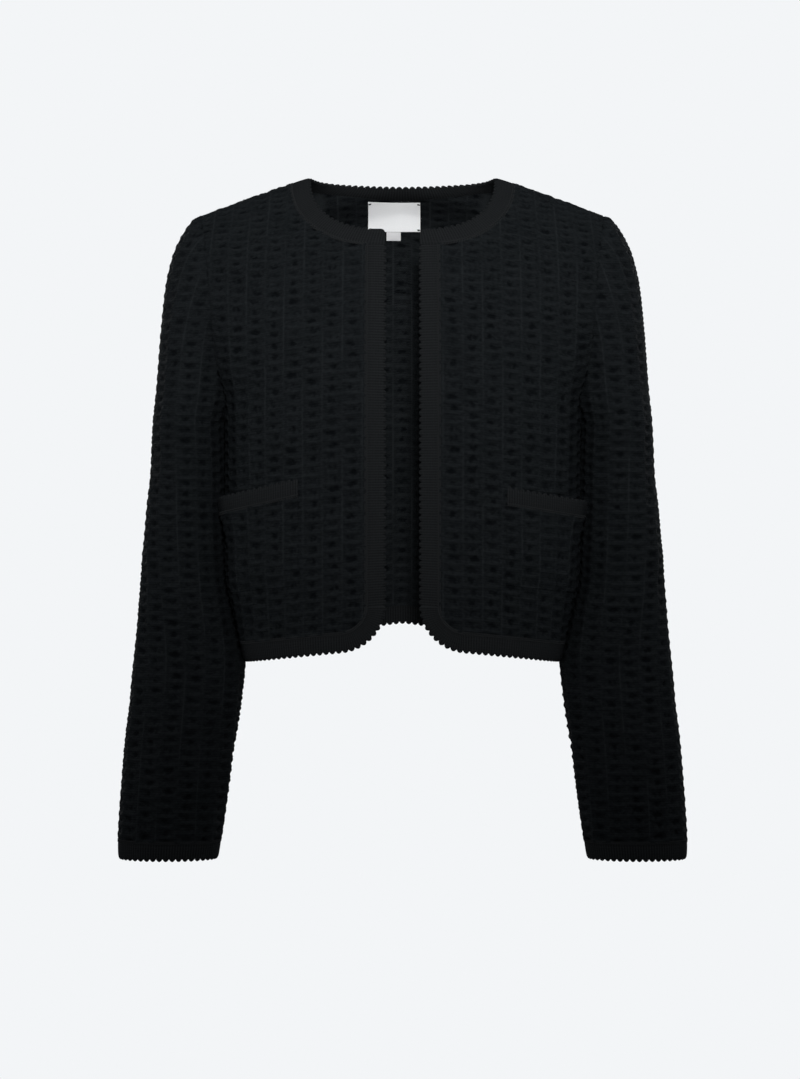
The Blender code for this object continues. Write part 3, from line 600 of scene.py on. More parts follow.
def knit_panel(name, cloth, low, top, turns, meshes, ends, mirror=1.0, ring_top=-math.inf):
    """A closed wall of ladder knit from low to top, and the flat area of its cut.

    turns are extra rows; meshes has the rows and columns of the outer and of the inner face;
    ends(t) gives a row's lowest and highest s; rows up to ring_top are rings.
    """
    stacks = []
    for outer, (row_shares, column_places) in zip((True, False), meshes):
        levels = knit_levels(cloth.bars, low, top, row_shares, turns)
        columns = columns_of(column_places, 0.0)
        if outer:
            area = cut_area(levels, ends)
        stacks.append([cloth.knit_row(t, *ends(t), columns, outer, ring=t <= ring_top) for t in levels])
    cloth.add_wall(*stacks, ring_top=ring_top)
    return cloth.finish(name, knit_material, mirror), area


def cut_area(levels, ends):
    """Flat area of a panel in square metres."""
    widths = np.array([ends(t)[1] - ends(t)[0] for t in levels])
    return float((np.diff(levels) * (widths[1:] + widths[:-1]) / 2).sum()) * MM * MM


def maths(tree, operation, *values, clamp=False):
    return add_node(tree, "Math", dict(enumerate(values)), operation=operation, use_clamp=clamp).outputs[0]


def cloth_group():
    """Yarn for every knit piece: colour mottling, a painted highlight on the raised stitch threads and
    loops, stitch bump and fuzz, in cloth coordinates.
    """
    group = bpy.data.node_groups.new("yarn", "ShaderNodeTree")
    for way, label, kind in (("INPUT", "Colour", "Color"), ("INPUT", "Mottle And Highlight Colour", "Color"),
                             ("INPUT", "Stitch Width", "Float"), ("INPUT", "Stitch Height", "Float"),
                             ("INPUT", "Loops", "Float"), ("OUTPUT", "Colour", "Color"),
                             ("OUTPUT", "Height", "Float"), ("OUTPUT", "Roughness", "Float"),
                             ("OUTPUT", "Ragged", "Float"), ("OUTPUT", "Strands", "Float")):
        group.interface.new_socket(label, in_out=way, socket_type="NodeSocket" + kind)
    given = group.nodes.new("NodeGroupInput").outputs
    place = add_node(group, "UVMap", uv_map="cloth").outputs["UV"]
    cloth = add_node(group, "VectorMath", {0: place, "Scale": 1 / MM}, operation="SCALE").outputs["Vector"]
    parts = add_node(group, "SeparateXYZ", {"Vector": cloth}).outputs

    def plus(first, second, clamp=False):
        return maths(group, "ADD", first, second, clamp=clamp)

    def times(first, second):
        return maths(group, "MULTIPLY", first, second)

    def noise(**inputs):
        return add_node(group, "TexNoise", inputs).outputs["Fac"]

    # two leaning threads in each stitch: across folds into a V, up repeats stitch by stitch
    across = maths(group, "PINGPONG", parts["X"], given["Stitch Width"])
    turn = maths(group, "DIVIDE", plus(parts["Y"], times(across, 1.15)), given["Stitch Height"])
    thread = maths(group, "ABSOLUTE", maths(group, "SINE", times(turn, math.pi)))
    wale = maths(group, "SINE", times(maths(group, "DIVIDE", across, given["Stitch Width"]), math.pi))
    stitches = times(thread, plus(times(wale, 0.5), 0.5))
    fuzz = noise(Vector=cloth, Scale=1.15, Detail=5.0, Roughness=0.7)
    broad = noise(Vector=cloth, Scale=0.06, Detail=4.0)
    # slack loops, a few millimetres long and wider than tall
    flatter = add_node(group, "VectorMath", {0: cloth, 1: (0.55, 1.0, 1.0)}, operation="MULTIPLY")
    loops = noise(Vector=flatter.outputs["Vector"], Scale=0.55, Detail=2.5, Roughness=0.65, Distortion=0.6)
    slack = times(plus(loops, -0.5), given["Loops"])
    height = plus(plus(times(stitches, 0.65), times(fuzz, 0.6)), slack)
    ragged = plus(plus(fuzz, -0.5), times(plus(loops, -0.5), 0.8))
    # loose strands cross the pits, each 1.7 mm above the last
    wavering = plus(parts["Y"], times(loops, 1.6))
    crossing = maths(group, "ABSOLUTE", maths(group, "SINE", times(wavering, math.pi / 1.7)))
    shade = plus(times(fuzz, 0.9), times(broad, 0.5))
    # a lighter colour, mixed in at random and as a painted highlight wherever the stitch threads and the
    # loops stand higher
    mottle_and_highlight = plus(plus(times(stitches, 0.45), plus(shade, -0.55)), slack, clamp=True)
    feed(group, group.nodes.new("NodeGroupOutput"), {
        "Colour": mixed(group, mottle_and_highlight, given["Colour"], given["Mottle And Highlight Colour"]), "Height": height,
        "Roughness": plus(times(fuzz, 0.2), 0.75), "Ragged": ragged,
        "Strands": maths(group, "POWER", crossing, 5.0)})
    return group


yarn = cloth_group()


def yarn_material(name, colour, mottle_and_highlight, stitch, bump, loops=0.0, pit_shade_colour=None, line_highlight_colour=None):
    """Matt yarn; each point's shade value paints shade into the pits and a highlight onto the lines, in
    colours of their own.
    """
    material, tree, shader = new_material(name, {
        "Specular IOR Level": 0.012, "Sheen Weight": 0.006, "Sheen Roughness": 0.55,
        "Sheen Tint": (0.75, 0.85, 1.0, 1.0)})
    made = add_node(tree, "Group", {
        "Colour": (*colour, 1.0), "Mottle And Highlight Colour": (*mottle_and_highlight, 1.0), "Stitch Width": stitch[0],
        "Stitch Height": stitch[1], "Loops": loops}, node_tree=yarn).outputs
    surface = made["Colour"]
    if pit_shade_colour is not None:
        # painted shade in the pits and a painted highlight on the lines
        painted_shading = add_node(tree, "Attribute", attribute_name="painted_shading").outputs["Fac"]
        uneven = maths(tree, "ADD", painted_shading, made["Ragged"])
        on_cloth = add_node(tree, "MapRange", {"Value": uneven, "From Min": 0.28, "From Max": 0.82})
        pit = mixed(tree, made["Strands"], (*pit_shade_colour, 1.0), (*colour, 1.0))
        on_line = maths(tree, "SUBTRACT", painted_shading, 1.0, clamp=True)
        surface = mixed(tree, on_line, mixed(tree, on_cloth.outputs["Result"], pit, surface),
                        (*line_highlight_colour, 1.0))
    raised = add_node(tree, "Bump", {"Distance": bump * MM, "Strength": 1.0, "Height": made["Height"]})
    feed(tree, shader, {"Base Color": surface, "Roughness": made["Roughness"],
                        "Normal": raised.outputs["Normal"]})
    return material


# the pit colour is painted shade and the line colour a painted highlight
knit_material = yarn_material("ladder_knit", (0.0036, 0.0045, 0.0051), (0.0108, 0.0125, 0.0137),
                              (0.95, 2.2), 0.5, loops=1.6,
                              pit_shade_colour=(0.0018, 0.0023, 0.0028), line_highlight_colour=(0.0118, 0.0136, 0.0148))


def back_folds(s, t):
    """Two soft hanging folds beside the small of the back, and one below each shoulder blade."""
    hanging = sum(1.6 * np.exp(-(((s - side * (78 + 0.06 * t)) / 26.0) ** 2)) * smooth_step((300 - t) / 240)
                  * smooth_step((t - 12) / 60) for side in (-1.0, 1.0))
    blade = sum(-1.3 * np.exp(-(((s - side * 118 + side * 0.35 * (t - 250)) / 14.0) ** 2))
                * np.exp(-(((t - 262) / 42.0) ** 2)) for side in (-1.0, 1.0))
    edge = smooth_step((150 - np.abs(s)) / 30)
    return (hanging + blade) * edge


def shoulder_line(x):
    share = (x / TORSO_WIDTH[-1][1]) ** ROW_DROOP_POWER
    return SHOULDER_TIP_Z + ROW_FORM[-1][1] * (1.0 - share)


def back_neck_curve(middle_z, shoulder_x):
    x = np.linspace(0.0, shoulder_x, 40)
    return x, middle_z + (shoulder_line(shoulder_x) - middle_z) * (x / shoulder_x) ** 2


def to_cloth(sheet, x, z):
    """(s, t) of the places that the front view shows at x and z."""
    half = sheet.SAMPLES // 2
    found = []
    for a, b in zip(x, z):
        place = [np.interp(a, row[half:, 0], np.arange(half, sheet.SAMPLES)) for row in sheet.points]
        row_z = [np.interp(p, np.arange(sheet.SAMPLES), row[:, 2]) for p, row in zip(place, sheet.points)]
        row_s = (np.array(place) / (sheet.SAMPLES - 1) - 0.5) * sheet.lengths
        t = np.interp(b, row_z, sheet.t_rows)
        found.append((np.interp(t, sheet.t_rows, row_s), t))
    return np.array(found)


def tucked_neck(neck_seam):
    """A panel's neck edge, which lies between the two layers of the neck band."""
    return neck_seam + (-SEAM_TUCK, SEAM_TUCK)


OPENING_HALF = 16.0
NECK_CENTRE = (20.0, 2.0)
NECK_EDGE_RADII = (68.0, 55.0)
NECK_SEAM_RADII = (86.0, 71.0)
NECK_POWER = 2.3


def front_neck_curve(radii):
    angle = np.linspace(math.pi / 2, 0.0, 300)
    x = NECK_CENTRE[0] + radii[0] * signed_power(np.cos(angle), 2.0 / NECK_POWER)
    z = NECK_CENTRE[1] - radii[1] * signed_power(np.sin(angle), 2.0 / NECK_POWER)
    below = z < shoulder_line(x)
    x = np.concatenate(([OPENING_HALF], x[below][::6], x[below][-1:]))
    z = np.concatenate(([NECK_CENTRE[1] - radii[1]], z[below][::6], shoulder_line(x[-1:])))
    return x, z


neck_seam_x, neck_seam_z = front_neck_curve(NECK_SEAM_RADII)
neck_edge_x, neck_edge_z = front_neck_curve(NECK_EDGE_RADII)

back_sheet = torso_sheet(BACK_PROFILE, 2, 1.0, back_folds)
back_neck_seam = to_cloth(back_sheet, *back_neck_curve(BACK_NECK_SEAM_Z, neck_seam_x[-1]))
back_neck_edge = to_cloth(back_sheet, *back_neck_curve(BACK_NECK_Z, neck_edge_x[-1]))
back_panel_neck = tucked_neck(back_neck_seam)
back_top = float(back_sheet.t_rows[-1])
back_bars = bar_heights(back_top, BAR_SPACING)


def build_back_panel():
    """Full rows up to the neck, then a left and a right part beside it, in one closed wall."""
    neck_bottom = float(back_panel_neck[0, 1])
    neck_steps = [neck_bottom + rise for rise in (0.0, 0.15, 0.5, 1.0, 2.0, 3.5)]
    levels = knit_levels(back_bars, BAND_WIDTH - SEAM_TUCK, back_top, BACK_LEVELS, neck_steps)
    cloth = KnitCloth(back_sheet, back_bars, 11, phase=0.5)
    whole = []
    beside = {1: [], -1: []}
    for outer in (True, False):
        columns = columns_of(FINE_COLUMNS, 0.5)
        if not outer:
            shown_inside = columns[np.abs(columns) < SHOWN_INSIDE]
            columns = np.concatenate((columns_of(COARSE_COLUMNS, 0.5), shown_inside))
        columns = np.unique(np.append(columns, 0.0).round(4))
        rows = [cloth.knit_row(t, *back_sheet.ends(t), columns, outer) for t in levels if t <= neck_bottom]
        whole.append(rows)
        middle = [corner[1] for corner in rows[-1]].index(0.0)
        for side, half_row in ((1, rows[-1][middle:]), (-1, rows[-1][:middle + 1])):
            part = [half_row]
            for t in levels[levels > neck_bottom]:
                low = float(np.interp(t, back_panel_neck[:, 1], back_panel_neck[:, 0]))
                ends = sorted((side * low, side * float(back_sheet.half_length(t))))
                part.append(cloth.knit_row(t, *ends, columns, outer))
            beside[side].append(part)
    cloth.add_wall(*whole, top=False)
    for parts in beside.values():
        cloth.add_wall(*parts, bottom=False)
    return cloth.finish("back_panel", knit_material), cut_area(levels, back_sheet.ends)


back_panel, back_area = build_back_panel()
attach(back_panel, "root")
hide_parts("back")

# ---------------------------------------------------------------- front panels
# Two knit panels like the back, left open down the middle and rounded at their lower corner.
# Linked to the back at the shoulder and the side.
CORNER_RADIUS = 40.0

# height on the middle line, depth in front of the shoulder line
FRONT_PROFILE = (
    (-450.0, 97.0), (-400.0, 99.0), (-330.0, 102.0), (-260.0, 104.0),
    (-207.0, 105.0), (-166.0, 103.0), (-118.0, 96.0), (-77.0, 81.0),
    (-53.0, 69.0), (-25.0, 50.0), (-5.0, 32.0), (10.0, 16.0), (23.0, 0.0),
)


def front_folds(s, t):
    """A faint drag from the armhole towards the chest, and a faint hanging fold below it."""
    out = np.abs(s)
    drag = -0.9 * np.exp(-(((out - 128 + 0.5 * (t - 262)) / 11.0) ** 2)) * np.exp(-(((t - 262) / 34.0) ** 2))
    hanging = 1.1 * np.exp(-(((out - 66 - 0.05 * t) / 24.0) ** 2)) * smooth_step((290 - t) / 160)
    hanging = hanging * smooth_step((t - 180) / 60)
    return (drag + hanging) * smooth_step((out - 36) / 20)


front_sheet = torso_sheet(FRONT_PROFILE, 1, -1.0, front_folds)
front_neck_seam = to_cloth(front_sheet, neck_seam_x, neck_seam_z)
front_neck_edge = to_cloth(front_sheet, neck_edge_x, neck_edge_z)
front_panel_neck = tucked_neck(front_neck_seam)
front_top = float(front_sheet.t_rows[-1])
front_bars = bar_heights(front_top, BAR_SPACING)


def front_ends(t):
    corner = CORNER_RADIUS - BAND_WIDTH
    height = min(max(CORNER_RADIUS - t, 0.0), corner)
    beside_band = OPENING_HALF + CORNER_RADIUS - math.sqrt(corner**2 - height**2) - SEAM_TUCK
    beside_collar = float(np.interp(t, front_panel_neck[:, 1], front_panel_neck[:, 0]))
    return max(beside_band, beside_collar), float(front_sheet.half_length(t))


front_low = BAND_WIDTH - SEAM_TUCK
front_turns = [front_low + rise for rise in (0.5, 0.8, 1.2, 2.0, 3.0, 4.5, 6.5, 9.0, 12.0, 15.5)]
front_turns += [float(front_panel_neck[0, 1]) + rise for rise in (0.0, 0.3, 0.8, 1.6, 2.8)]
FRONT_MESHES = ((FINEST_LEVELS, FINEST_COLUMNS), (PLAIN_LEVELS, PLAIN_COLUMNS))
FRONT_SEEDS = {"left": 21, "right": 22}
for side, sign in (("left", 1.0), ("right", -1.0)):
    cloth = KnitCloth(front_sheet, front_bars, FRONT_SEEDS[side], sign=sign)
    front_panel, front_area = knit_panel("front_panel_" + side, cloth, front_low, front_top, front_turns,
                                         FRONT_MESHES, front_ends)
    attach(front_panel, "root")
    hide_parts("front_" + side)

# ---------------------------------------------------------------- sleeves
# Each sleeve is one knit panel closed by a seam under the arm, whose cap is linked to the
# armhole. The ribs follow the outer line from the shoulder and run off at the seam.
CUFF_Z = -645.5
CUFF_RISE = 2.6        # the cuff's edge hangs this far above the end of the solid
SLEEVE_POWER = 2.2
CAP_TOP_Z = -35.58     # just below the shoulder tip, where the cap closes
CAP_INSET = 0.3        # the cap is linked in: its edge lies this far inside the panel's
SLEEVE_BAR_SPACING = ((0.0, 9.9), (640.0, 9.7))

# height, outer edge, inner edge (from the underarm down)
SLEEVE_EDGES = (
    (-651.0, 267.2, 176.5), (-627.0, 268.0, 173.0), (-598.0, 266.8, 168.6),
    (-570.0, 265.0, 164.6), (-541.0, 263.0, 161.0), (-513.0, 260.4, 156.6),
    (-484.0, 257.6, 153.0), (-456.0, 254.8, 151.0), (-440.0, 253.2, 155.5),
    (-423.0, 251.6, 159.5), (-403.0, 250.2, 164.0), (-384.0, 248.8, 168.5),
    (-370.0, 247.6, 169.0), (-313.0, 242.3, 169.9), (-265.0, 237.6, 169.6),
    (-240.0, 235.8, 169.6), (-226.0, 234.8, 168.4),
)
# height, outer edge of the cap above the underarm
CAP_EDGE = (
    (-226.0, 234.8), (-200.0, 232.0), (-142.0, 227.6), (-100.0, 223.2),
    (-85.0, 220.0), (-71.0, 216.0), (-57.0, 209.6), (-49.0, 204.6),
    (-45.0, 202.0), (-41.0, 199.4), (-38.0, 196.6), (-36.2, 193.3),
    (-35.5, 190.4),
)
# height, half depth, how far the middle lies behind the shoulder line
SLEEVE_DEPTH = (
    (-651.0, 33.5, -15.0), (-598.0, 35.5, -10.0), (-541.0, 37.0, -3.0),
    (-484.0, 39.0, 4.0), (-456.0, 41.0, 7.0), (-427.0, 45.0, 9.0),
    (-403.0, 49.0, 10.0), (-370.0, 54.0, 10.0), (-313.0, 60.5, 8.0),
    (-265.0, 65.0, 5.0), (-226.0, 68.5, 0.0), (-165.0, 67.5, 0.0),
    (-131.0, 64.0, 0.0), (-100.0, 58.5, 0.0), (-85.0, 55.0, 0.0),
    (-71.0, 49.5, 0.0), (-60.0, 43.5, 0.0), (-45.0, 30.5, 0.0),
    (-35.5, 0.5, 0.0),
)


class SleeveSheet(Sheet):
    """The wearer's left sleeve. s = 0 is its outer line and s grows to the front."""

    GUIDE_S = 0.0


def sleeve_folds(s, t):
    """Soft breaks at the elbow, at the back and the front, and one faint drag below the cap."""
    away = smooth_step((92 - np.abs(s)) / 30)
    elbow = sum(depth * np.exp(-(((s - middle) / 30.0) ** 2))
                * np.exp(-(((t - height - lean * (s - middle)) / width) ** 2))
                for middle, height, lean, width, depth in (
                    (48.0, 268.0, 0.30, 13.0, -1.5), (42.0, 296.0, 0.22, 11.0, 1.0),
                    (-50.0, 286.0, -0.42, 13.0, -1.9), (-44.0, 318.0, -0.30, 12.0, -1.2),
                    (-48.0, 255.0, -0.25, 14.0, 1.1), (30.0, 372.0, 0.55, 17.0, -0.9),
                    (-34.0, 395.0, -0.50, 18.0, -1.2), (8.0, 150.0, 0.12, 16.0, -0.7)))
    return elbow * away


def sleeve_sheet():
    ring = np.linspace(CUFF_Z - BELOW_HEM, UNDERARM_Z, 110, endpoint=False)
    heights = np.concatenate((ring, armhole_heights(120)[:-1]))
    rows = []
    for z in heights:
        half_depth = float(curve_through(SLEEVE_DEPTH, 1, z))
        middle_y = float(curve_through(SLEEVE_DEPTH, 2, z))
        if z < UNDERARM_Z:
            outer = float(curve_through(SLEEVE_EDGES, 1, z))
            half_width = (outer - float(curve_through(SLEEVE_EDGES, 2, z))) / 2
            last = math.pi
        else:
            outer = float(curve_through(CAP_EDGE, 1, z))
            seam_x = float(torso_half_width(z)) - CAP_INSET
            seam_y = float(armhole_half_depth(z))
            half_depth = max(half_depth, seam_y * 1.01)
            share = (seam_y / half_depth) ** SLEEVE_POWER
            half_width = (outer - seam_x) / (1.0 + (1.0 - share) ** (1.0 / SLEEVE_POWER))
            last = math.pi - math.asin(share ** 0.5)
        angle = np.linspace(-last, last, 361)
        rows.append(np.stack((
            outer - half_width + half_width * signed_power(np.cos(angle), 2.0 / SLEEVE_POWER),
            middle_y - half_depth * signed_power(np.sin(angle), 2.0 / SLEEVE_POWER),
            np.full_like(angle, z),
        ), axis=1))
    return SleeveSheet(rows, heights, CUFF_Z, -1.0, sleeve_folds)


left_sleeve = sleeve_sheet()
sleeve_low = BAND_WIDTH + CUFF_RISE - SEAM_TUCK
sleeve_underarm = left_sleeve.t_at(UNDERARM_Z)
sleeve_top = left_sleeve.t_at(CAP_TOP_Z)
sleeve_bars = bar_heights(sleeve_top, SLEEVE_BAR_SPACING)
sleeve_turns = [sleeve_underarm + rise for rise in (0.0, 0.4, 1.2, 2.6, 4.4)]
sleeve_turns += [left_sleeve.t_at(z) for z in (-38.2, -41.0, -43.5)]
for side, mirror, seed in (("left", 1.0, 31), ("right", -1.0, 32)):
    sleeve, sleeve_area = knit_panel(
        "sleeve_panel_" + side, KnitCloth(left_sleeve, sleeve_bars, seed), sleeve_low, sleeve_top,
        sleeve_turns, ((FINE_LEVELS, FINE_COLUMNS), ((0.0,), COARSE_COLUMNS)), left_sleeve.ends,
        mirror=mirror, ring_top=sleeve_underarm)
    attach(sleeve, "root")
    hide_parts("sleeve_" + side)

# ---------------------------------------------------------------- patch pockets
# A square patch of the same knit on each front, its ribs and bars lined up with the front's.
# It is sewn down at three sides, and its mouth stands a little open at the outer end.
POCKET_ENDS = np.array((97.0, 191.0))
POCKET_BOTTOM_T = 66.0
POCKET_BAND_WIDTH = 15.5
PATCH_WALL = 1.4
PATCH_EDGE_LIFT = 0.7
PATCH_LIFT = 2.0
PATCH_SLOPE = 16.0
POCKET_GAPE = 9.0
GAPE_REACH = 55.0
# side sign, height of the mouth at its inner and outer end
POCKETS = (("left", 1.0, -294.0, -306.0), ("right", -1.0, -286.0, -303.0))


def t_at_height(sheet, s, z):
    row_z = sheet.read(sheet.points, np.full(len(sheet.t_rows), s), sheet.t_rows)[:, 2]
    return float(np.interp(z, row_z, sheet.t_rows))


def pocket_mouth(inner_z, outer_z):
    """Height up the cloth of the mouth's two ends."""
    return np.array([t_at_height(front_sheet, s, z) for s, z in zip(POCKET_ENDS, (inner_z, outer_z))])


def pocket_lift(mouth_t, s, t):
    """Height of the patch's valleys above the front's: close at the sewn edges, free at the mouth."""
    out = np.abs(s)
    mouth = np.interp(out, POCKET_ENDS, mouth_t)
    from_seam = np.minimum(np.minimum(out - POCKET_ENDS[0], POCKET_ENDS[1] - out), t - POCKET_BOTTOM_T)
    body = PATCH_LIFT * smooth_step(from_seam / PATCH_SLOPE)
    outward = smooth_step((out - POCKET_ENDS[0]) / (POCKET_ENDS[1] - POCKET_ENDS[0])) ** 2
    upward = smooth_step((t - mouth) / GAPE_REACH + 1.0)
    return PATCH_EDGE_LIFT + body + POCKET_GAPE * outward * upward


for side, sign, inner_z, outer_z in POCKETS:
    mouth_t = pocket_mouth(inner_z, outer_z)
    patch_top = mouth_t - POCKET_BAND_WIDTH + SEAM_TUCK

    def patch_ends(t):
        reach = float(np.interp(t, patch_top[::-1], POCKET_ENDS[::-1]))
        return float(POCKET_ENDS[0]), max(reach, float(POCKET_ENDS[0]) + 1.0)

    cloth = KnitCloth(front_sheet, front_bars, FRONT_SEEDS[side], sign=sign,
                      lift=lambda s, t: pocket_lift(mouth_t, s, t), wall=PATCH_WALL)
    patch, patch_area = knit_panel("pocket_patch_" + side, cloth, POCKET_BOTTOM_T, float(patch_top[0]),
                                   [float(patch_top[1])], FRONT_MESHES, patch_ends)
    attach(patch, "root")
    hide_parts("pocket_" + side)

# ---------------------------------------------------------------- edge bands
# Bands of a finer, smooth rib, doubled at the edge, with a picot point every 6 mm. They bind
# the neck, fronts, hem, cuffs and pocket mouths and are linked on with a chain of small stitches.
TOOTH_PITCH = 6.1
TOOTH_DEPTH = 2.4
TOOTH_STATIONS = (0.0, 0.2, 0.4, 0.6, 0.8)
FINE_RIB = 0.22
# painted highlight on each raised fine rib of a band, and painted shade in each groove
RIB_HIGHLIGHT = 1.6
GROOVE_SHADE = 0.45
CHAIN_PITCH = 2.3
CHAIN_HALF_WIDTH = 1.5
CHAIN_LIFT = 1.0
CHAIN_INSET = 0.4
STRAND_RADIUS = 0.62
# share of the width from the seam, height above the panel's valleys, share of the tooth's reach
BAND_SECTION = (
    (0.00, -0.9, 0.0), (0.02, 0.25, 0.0), (0.10, 0.80, 0.0), (0.30, 0.95, 0.0), (0.55, 0.95, 0.0),
    (0.80, 0.85, 0.1), (0.92, 0.60, 0.5), (0.98, 0.05, 1.0), (1.00, -0.9, 1.1),
    (0.98, -1.9, 1.0), (0.90, -2.35, 0.4), (0.50, -2.4, 0.0), (0.06, -2.4, 0.0), (0.00, -1.8, 0.0),
)

# the pit colour is painted shade in the band's grooves, and the line colour a painted highlight on its fine
# ribs
band_material = yarn_material("ribbed_band", (0.0058, 0.0064, 0.0069), (0.0102, 0.0112, 0.0119),
                              (0.85, 2.6), 0.3, loops=0.5,
                              pit_shade_colour=(0.0032, 0.0036, 0.0040), line_highlight_colour=(0.0145, 0.0157, 0.0166))
chain_material = yarn_material("linking_yarn", (0.0125, 0.0135, 0.0142), (0.019, 0.020, 0.021),
                               (0.5, 1.2), 0.2)


def mirrored(path):
    return path * (-1.0, 1.0)


def flat_seam(s, t):
    return np.zeros(np.shape(s))


def add_strand(bm, start, end, radius, half_length):
    """A short thread, as a stretched ball midway between two points and in line with them."""
    ball = bmesh.ops.create_icosphere(bm, subdivisions=1, radius=1.0)["verts"]
    bmesh.ops.scale(bm, verts=ball, vec=(radius, radius, half_length))
    bmesh.ops.rotate(bm, verts=ball, cent=(0, 0, 0),
                     matrix=Vector(end - start).to_track_quat("Z", "Y").to_matrix())
    bmesh.ops.translate(bm, verts=ball, vec=(start + end) / 2)


def chain_strands(sheet, seam_path, edge_path, length, lift, plain_end):
    """Starts and ends of a chain's strands: each stitch is a V, whose two strands meet further on."""
    marks = np.linspace(0.0, 1.0, max(2, round(length / CHAIN_PITCH)) + 1)
    middle = spread(seam_path, marks)
    toward = spread(edge_path, marks) - middle
    toward /= np.linalg.norm(toward, axis=1, keepdims=True)
    middle = middle + CHAIN_INSET * toward
    on_panel = (sheet is back_sheet) | (np.abs(middle[:-1, 0]) > plain_end)
    strands = []
    for side in (-1.0, 1.0):
        ends = [sheet.point(s, t, CHAIN_LIFT + lift(np.abs(s), t))
                for s, t in ((middle[:-1] + side * CHAIN_HALF_WIDTH * toward[:-1]).T, middle[1:].T)]
        strands.append(np.stack(ends, axis=1)[on_panel])
    return strands


def edge_band(name, node, stretches, width, lift=flat_seam, mirror=1.0, ring=False, plain_end=0.0):
    """A picot band along stretches of (sheet, seam path, edge path), and its chain of stitches.

    Within plain_end of the middle, where a band meets a band, the front has no points and no chain.
    """
    share, height, reach = np.array(BAND_SECTION).T
    profile = np.append(np.cumsum(np.append(0.0, np.abs(np.diff(share)) * width + 0.2)), 2.2 * width)
    cloth = ClothMesh()
    stations = []
    travelled = 0.0
    strands = []
    for number, (sheet, seam_path, edge_path) in enumerate(stretches):
        s, t = spread(edge_path, np.linspace(0.0, 1.0, 60)).T
        length = travelled_along(sheet.point(s, t))[-1]
        teeth = max(1, round(length / TOOTH_PITCH))
        phases = np.array([k + u for k in range(teeth) for u in TOOTH_STATIONS] + [float(teeth)])
        seam = spread(seam_path, phases / teeth)
        edge = spread(edge_path, phases / teeth)
        outward = edge - seam
        outward /= np.linalg.norm(outward, axis=1, keepdims=True)
        tooth = (np.abs(np.sin(np.pi * phases)) ** 0.8 - 0.5) * TOOTH_DEPTH
        if sheet is not back_sheet:
            tooth = tooth * smooth_step((np.abs(edge[:, 0]) - plain_end) / 6.0 + 1.0)
        for i in range(1 if number else 0, len(phases)):
            along = np.full(len(profile), travelled + phases[i] / teeth * length)
            if ring and i == len(phases) - 1:
                stations.append([(first[0], *at) for first, *at in zip(stations[0], along, profile)])
                continue
            across = seam[i] + (edge[i] - seam[i]) * share[:, None]
            s, t = (across + outward[i] * (reach * tooth[i])[:, None]).T
            ribbed = height + (height > 0.5) * (FINE_RIB if i % 2 else -FINE_RIB)
            points = sheet.point(s, t, ribbed + lift(np.abs(s), t))
            # painted highlight on the raised ribs, painted shade in the grooves between them
            shade = np.full(len(profile), RIB_HIGHLIGHT if i % 2 else GROOVE_SHADE)
            stations.append(cloth.add_row(np.append(points, points[:1], axis=0), shade, along, profile,
                                          ring=True))
        strands += chain_strands(sheet, seam_path, edge_path, length, lift, plain_end)
        travelled += length
    for lower, upper in zip(stations, stations[1:]):
        cloth.zip_rows(lower, upper, key=2)
    if not ring:
        for station in (stations[0], stations[-1]):
            cloth.add_face(station[:-1])
    band = cloth.finish(name, band_material, mirror)

    bm = bmesh.new()
    for start, end in np.concatenate(strands) * MM * (mirror, 1.0, 1.0):
        add_strand(bm, start, end, STRAND_RADIUS * MM, 0.66 * np.linalg.norm(end - start))
    stitches = mesh_object(name + "_chain", bm, chain_material)
    for piece in (band, stitches):
        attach(piece, "root")
    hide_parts(node)


NECK_CORNER_RADIUS = 4.5


def rounded_end(path):
    """An edge whose first few millimetres sink in a quarter round, as at the opening's top corner."""
    fine = spread(path, np.linspace(0.0, 1.0, 200))
    from_end = np.linalg.norm(fine - fine[0], axis=1)
    short = np.clip(1.0 - from_end / NECK_CORNER_RADIUS, 0.0, 1.0)
    sink = NECK_CORNER_RADIUS * (1.0 - np.sqrt(1.0 - short**2))
    return fine - sink[:, None] * (0.0, 1.0)


# neck: from the left front edge round the back to the right front edge
around_seam = np.concatenate((back_neck_seam[::-1], mirrored(back_neck_seam[1:])))
around_edge = np.concatenate((back_neck_edge[::-1], mirrored(back_neck_edge[1:])))
edge_band("band_neck", "neck_band", [
    (front_sheet, front_neck_seam, rounded_end(front_neck_edge)),
    (back_sheet, around_seam, around_edge),
    (front_sheet, mirrored(front_neck_seam[::-1]), mirrored(rounded_end(front_neck_edge)[::-1])),
], BAND_WIDTH, plain_end=OPENING_HALF + BAND_WIDTH)

# fronts: down the edge, round the corner and along the hem
corner_turn = np.linspace(0.0, math.pi / 2, 12)


def corner_path(radius):
    return np.stack((OPENING_HALF + CORNER_RADIUS - radius * np.cos(corner_turn),
                     CORNER_RADIUS - radius * np.sin(corner_turn)), axis=1)


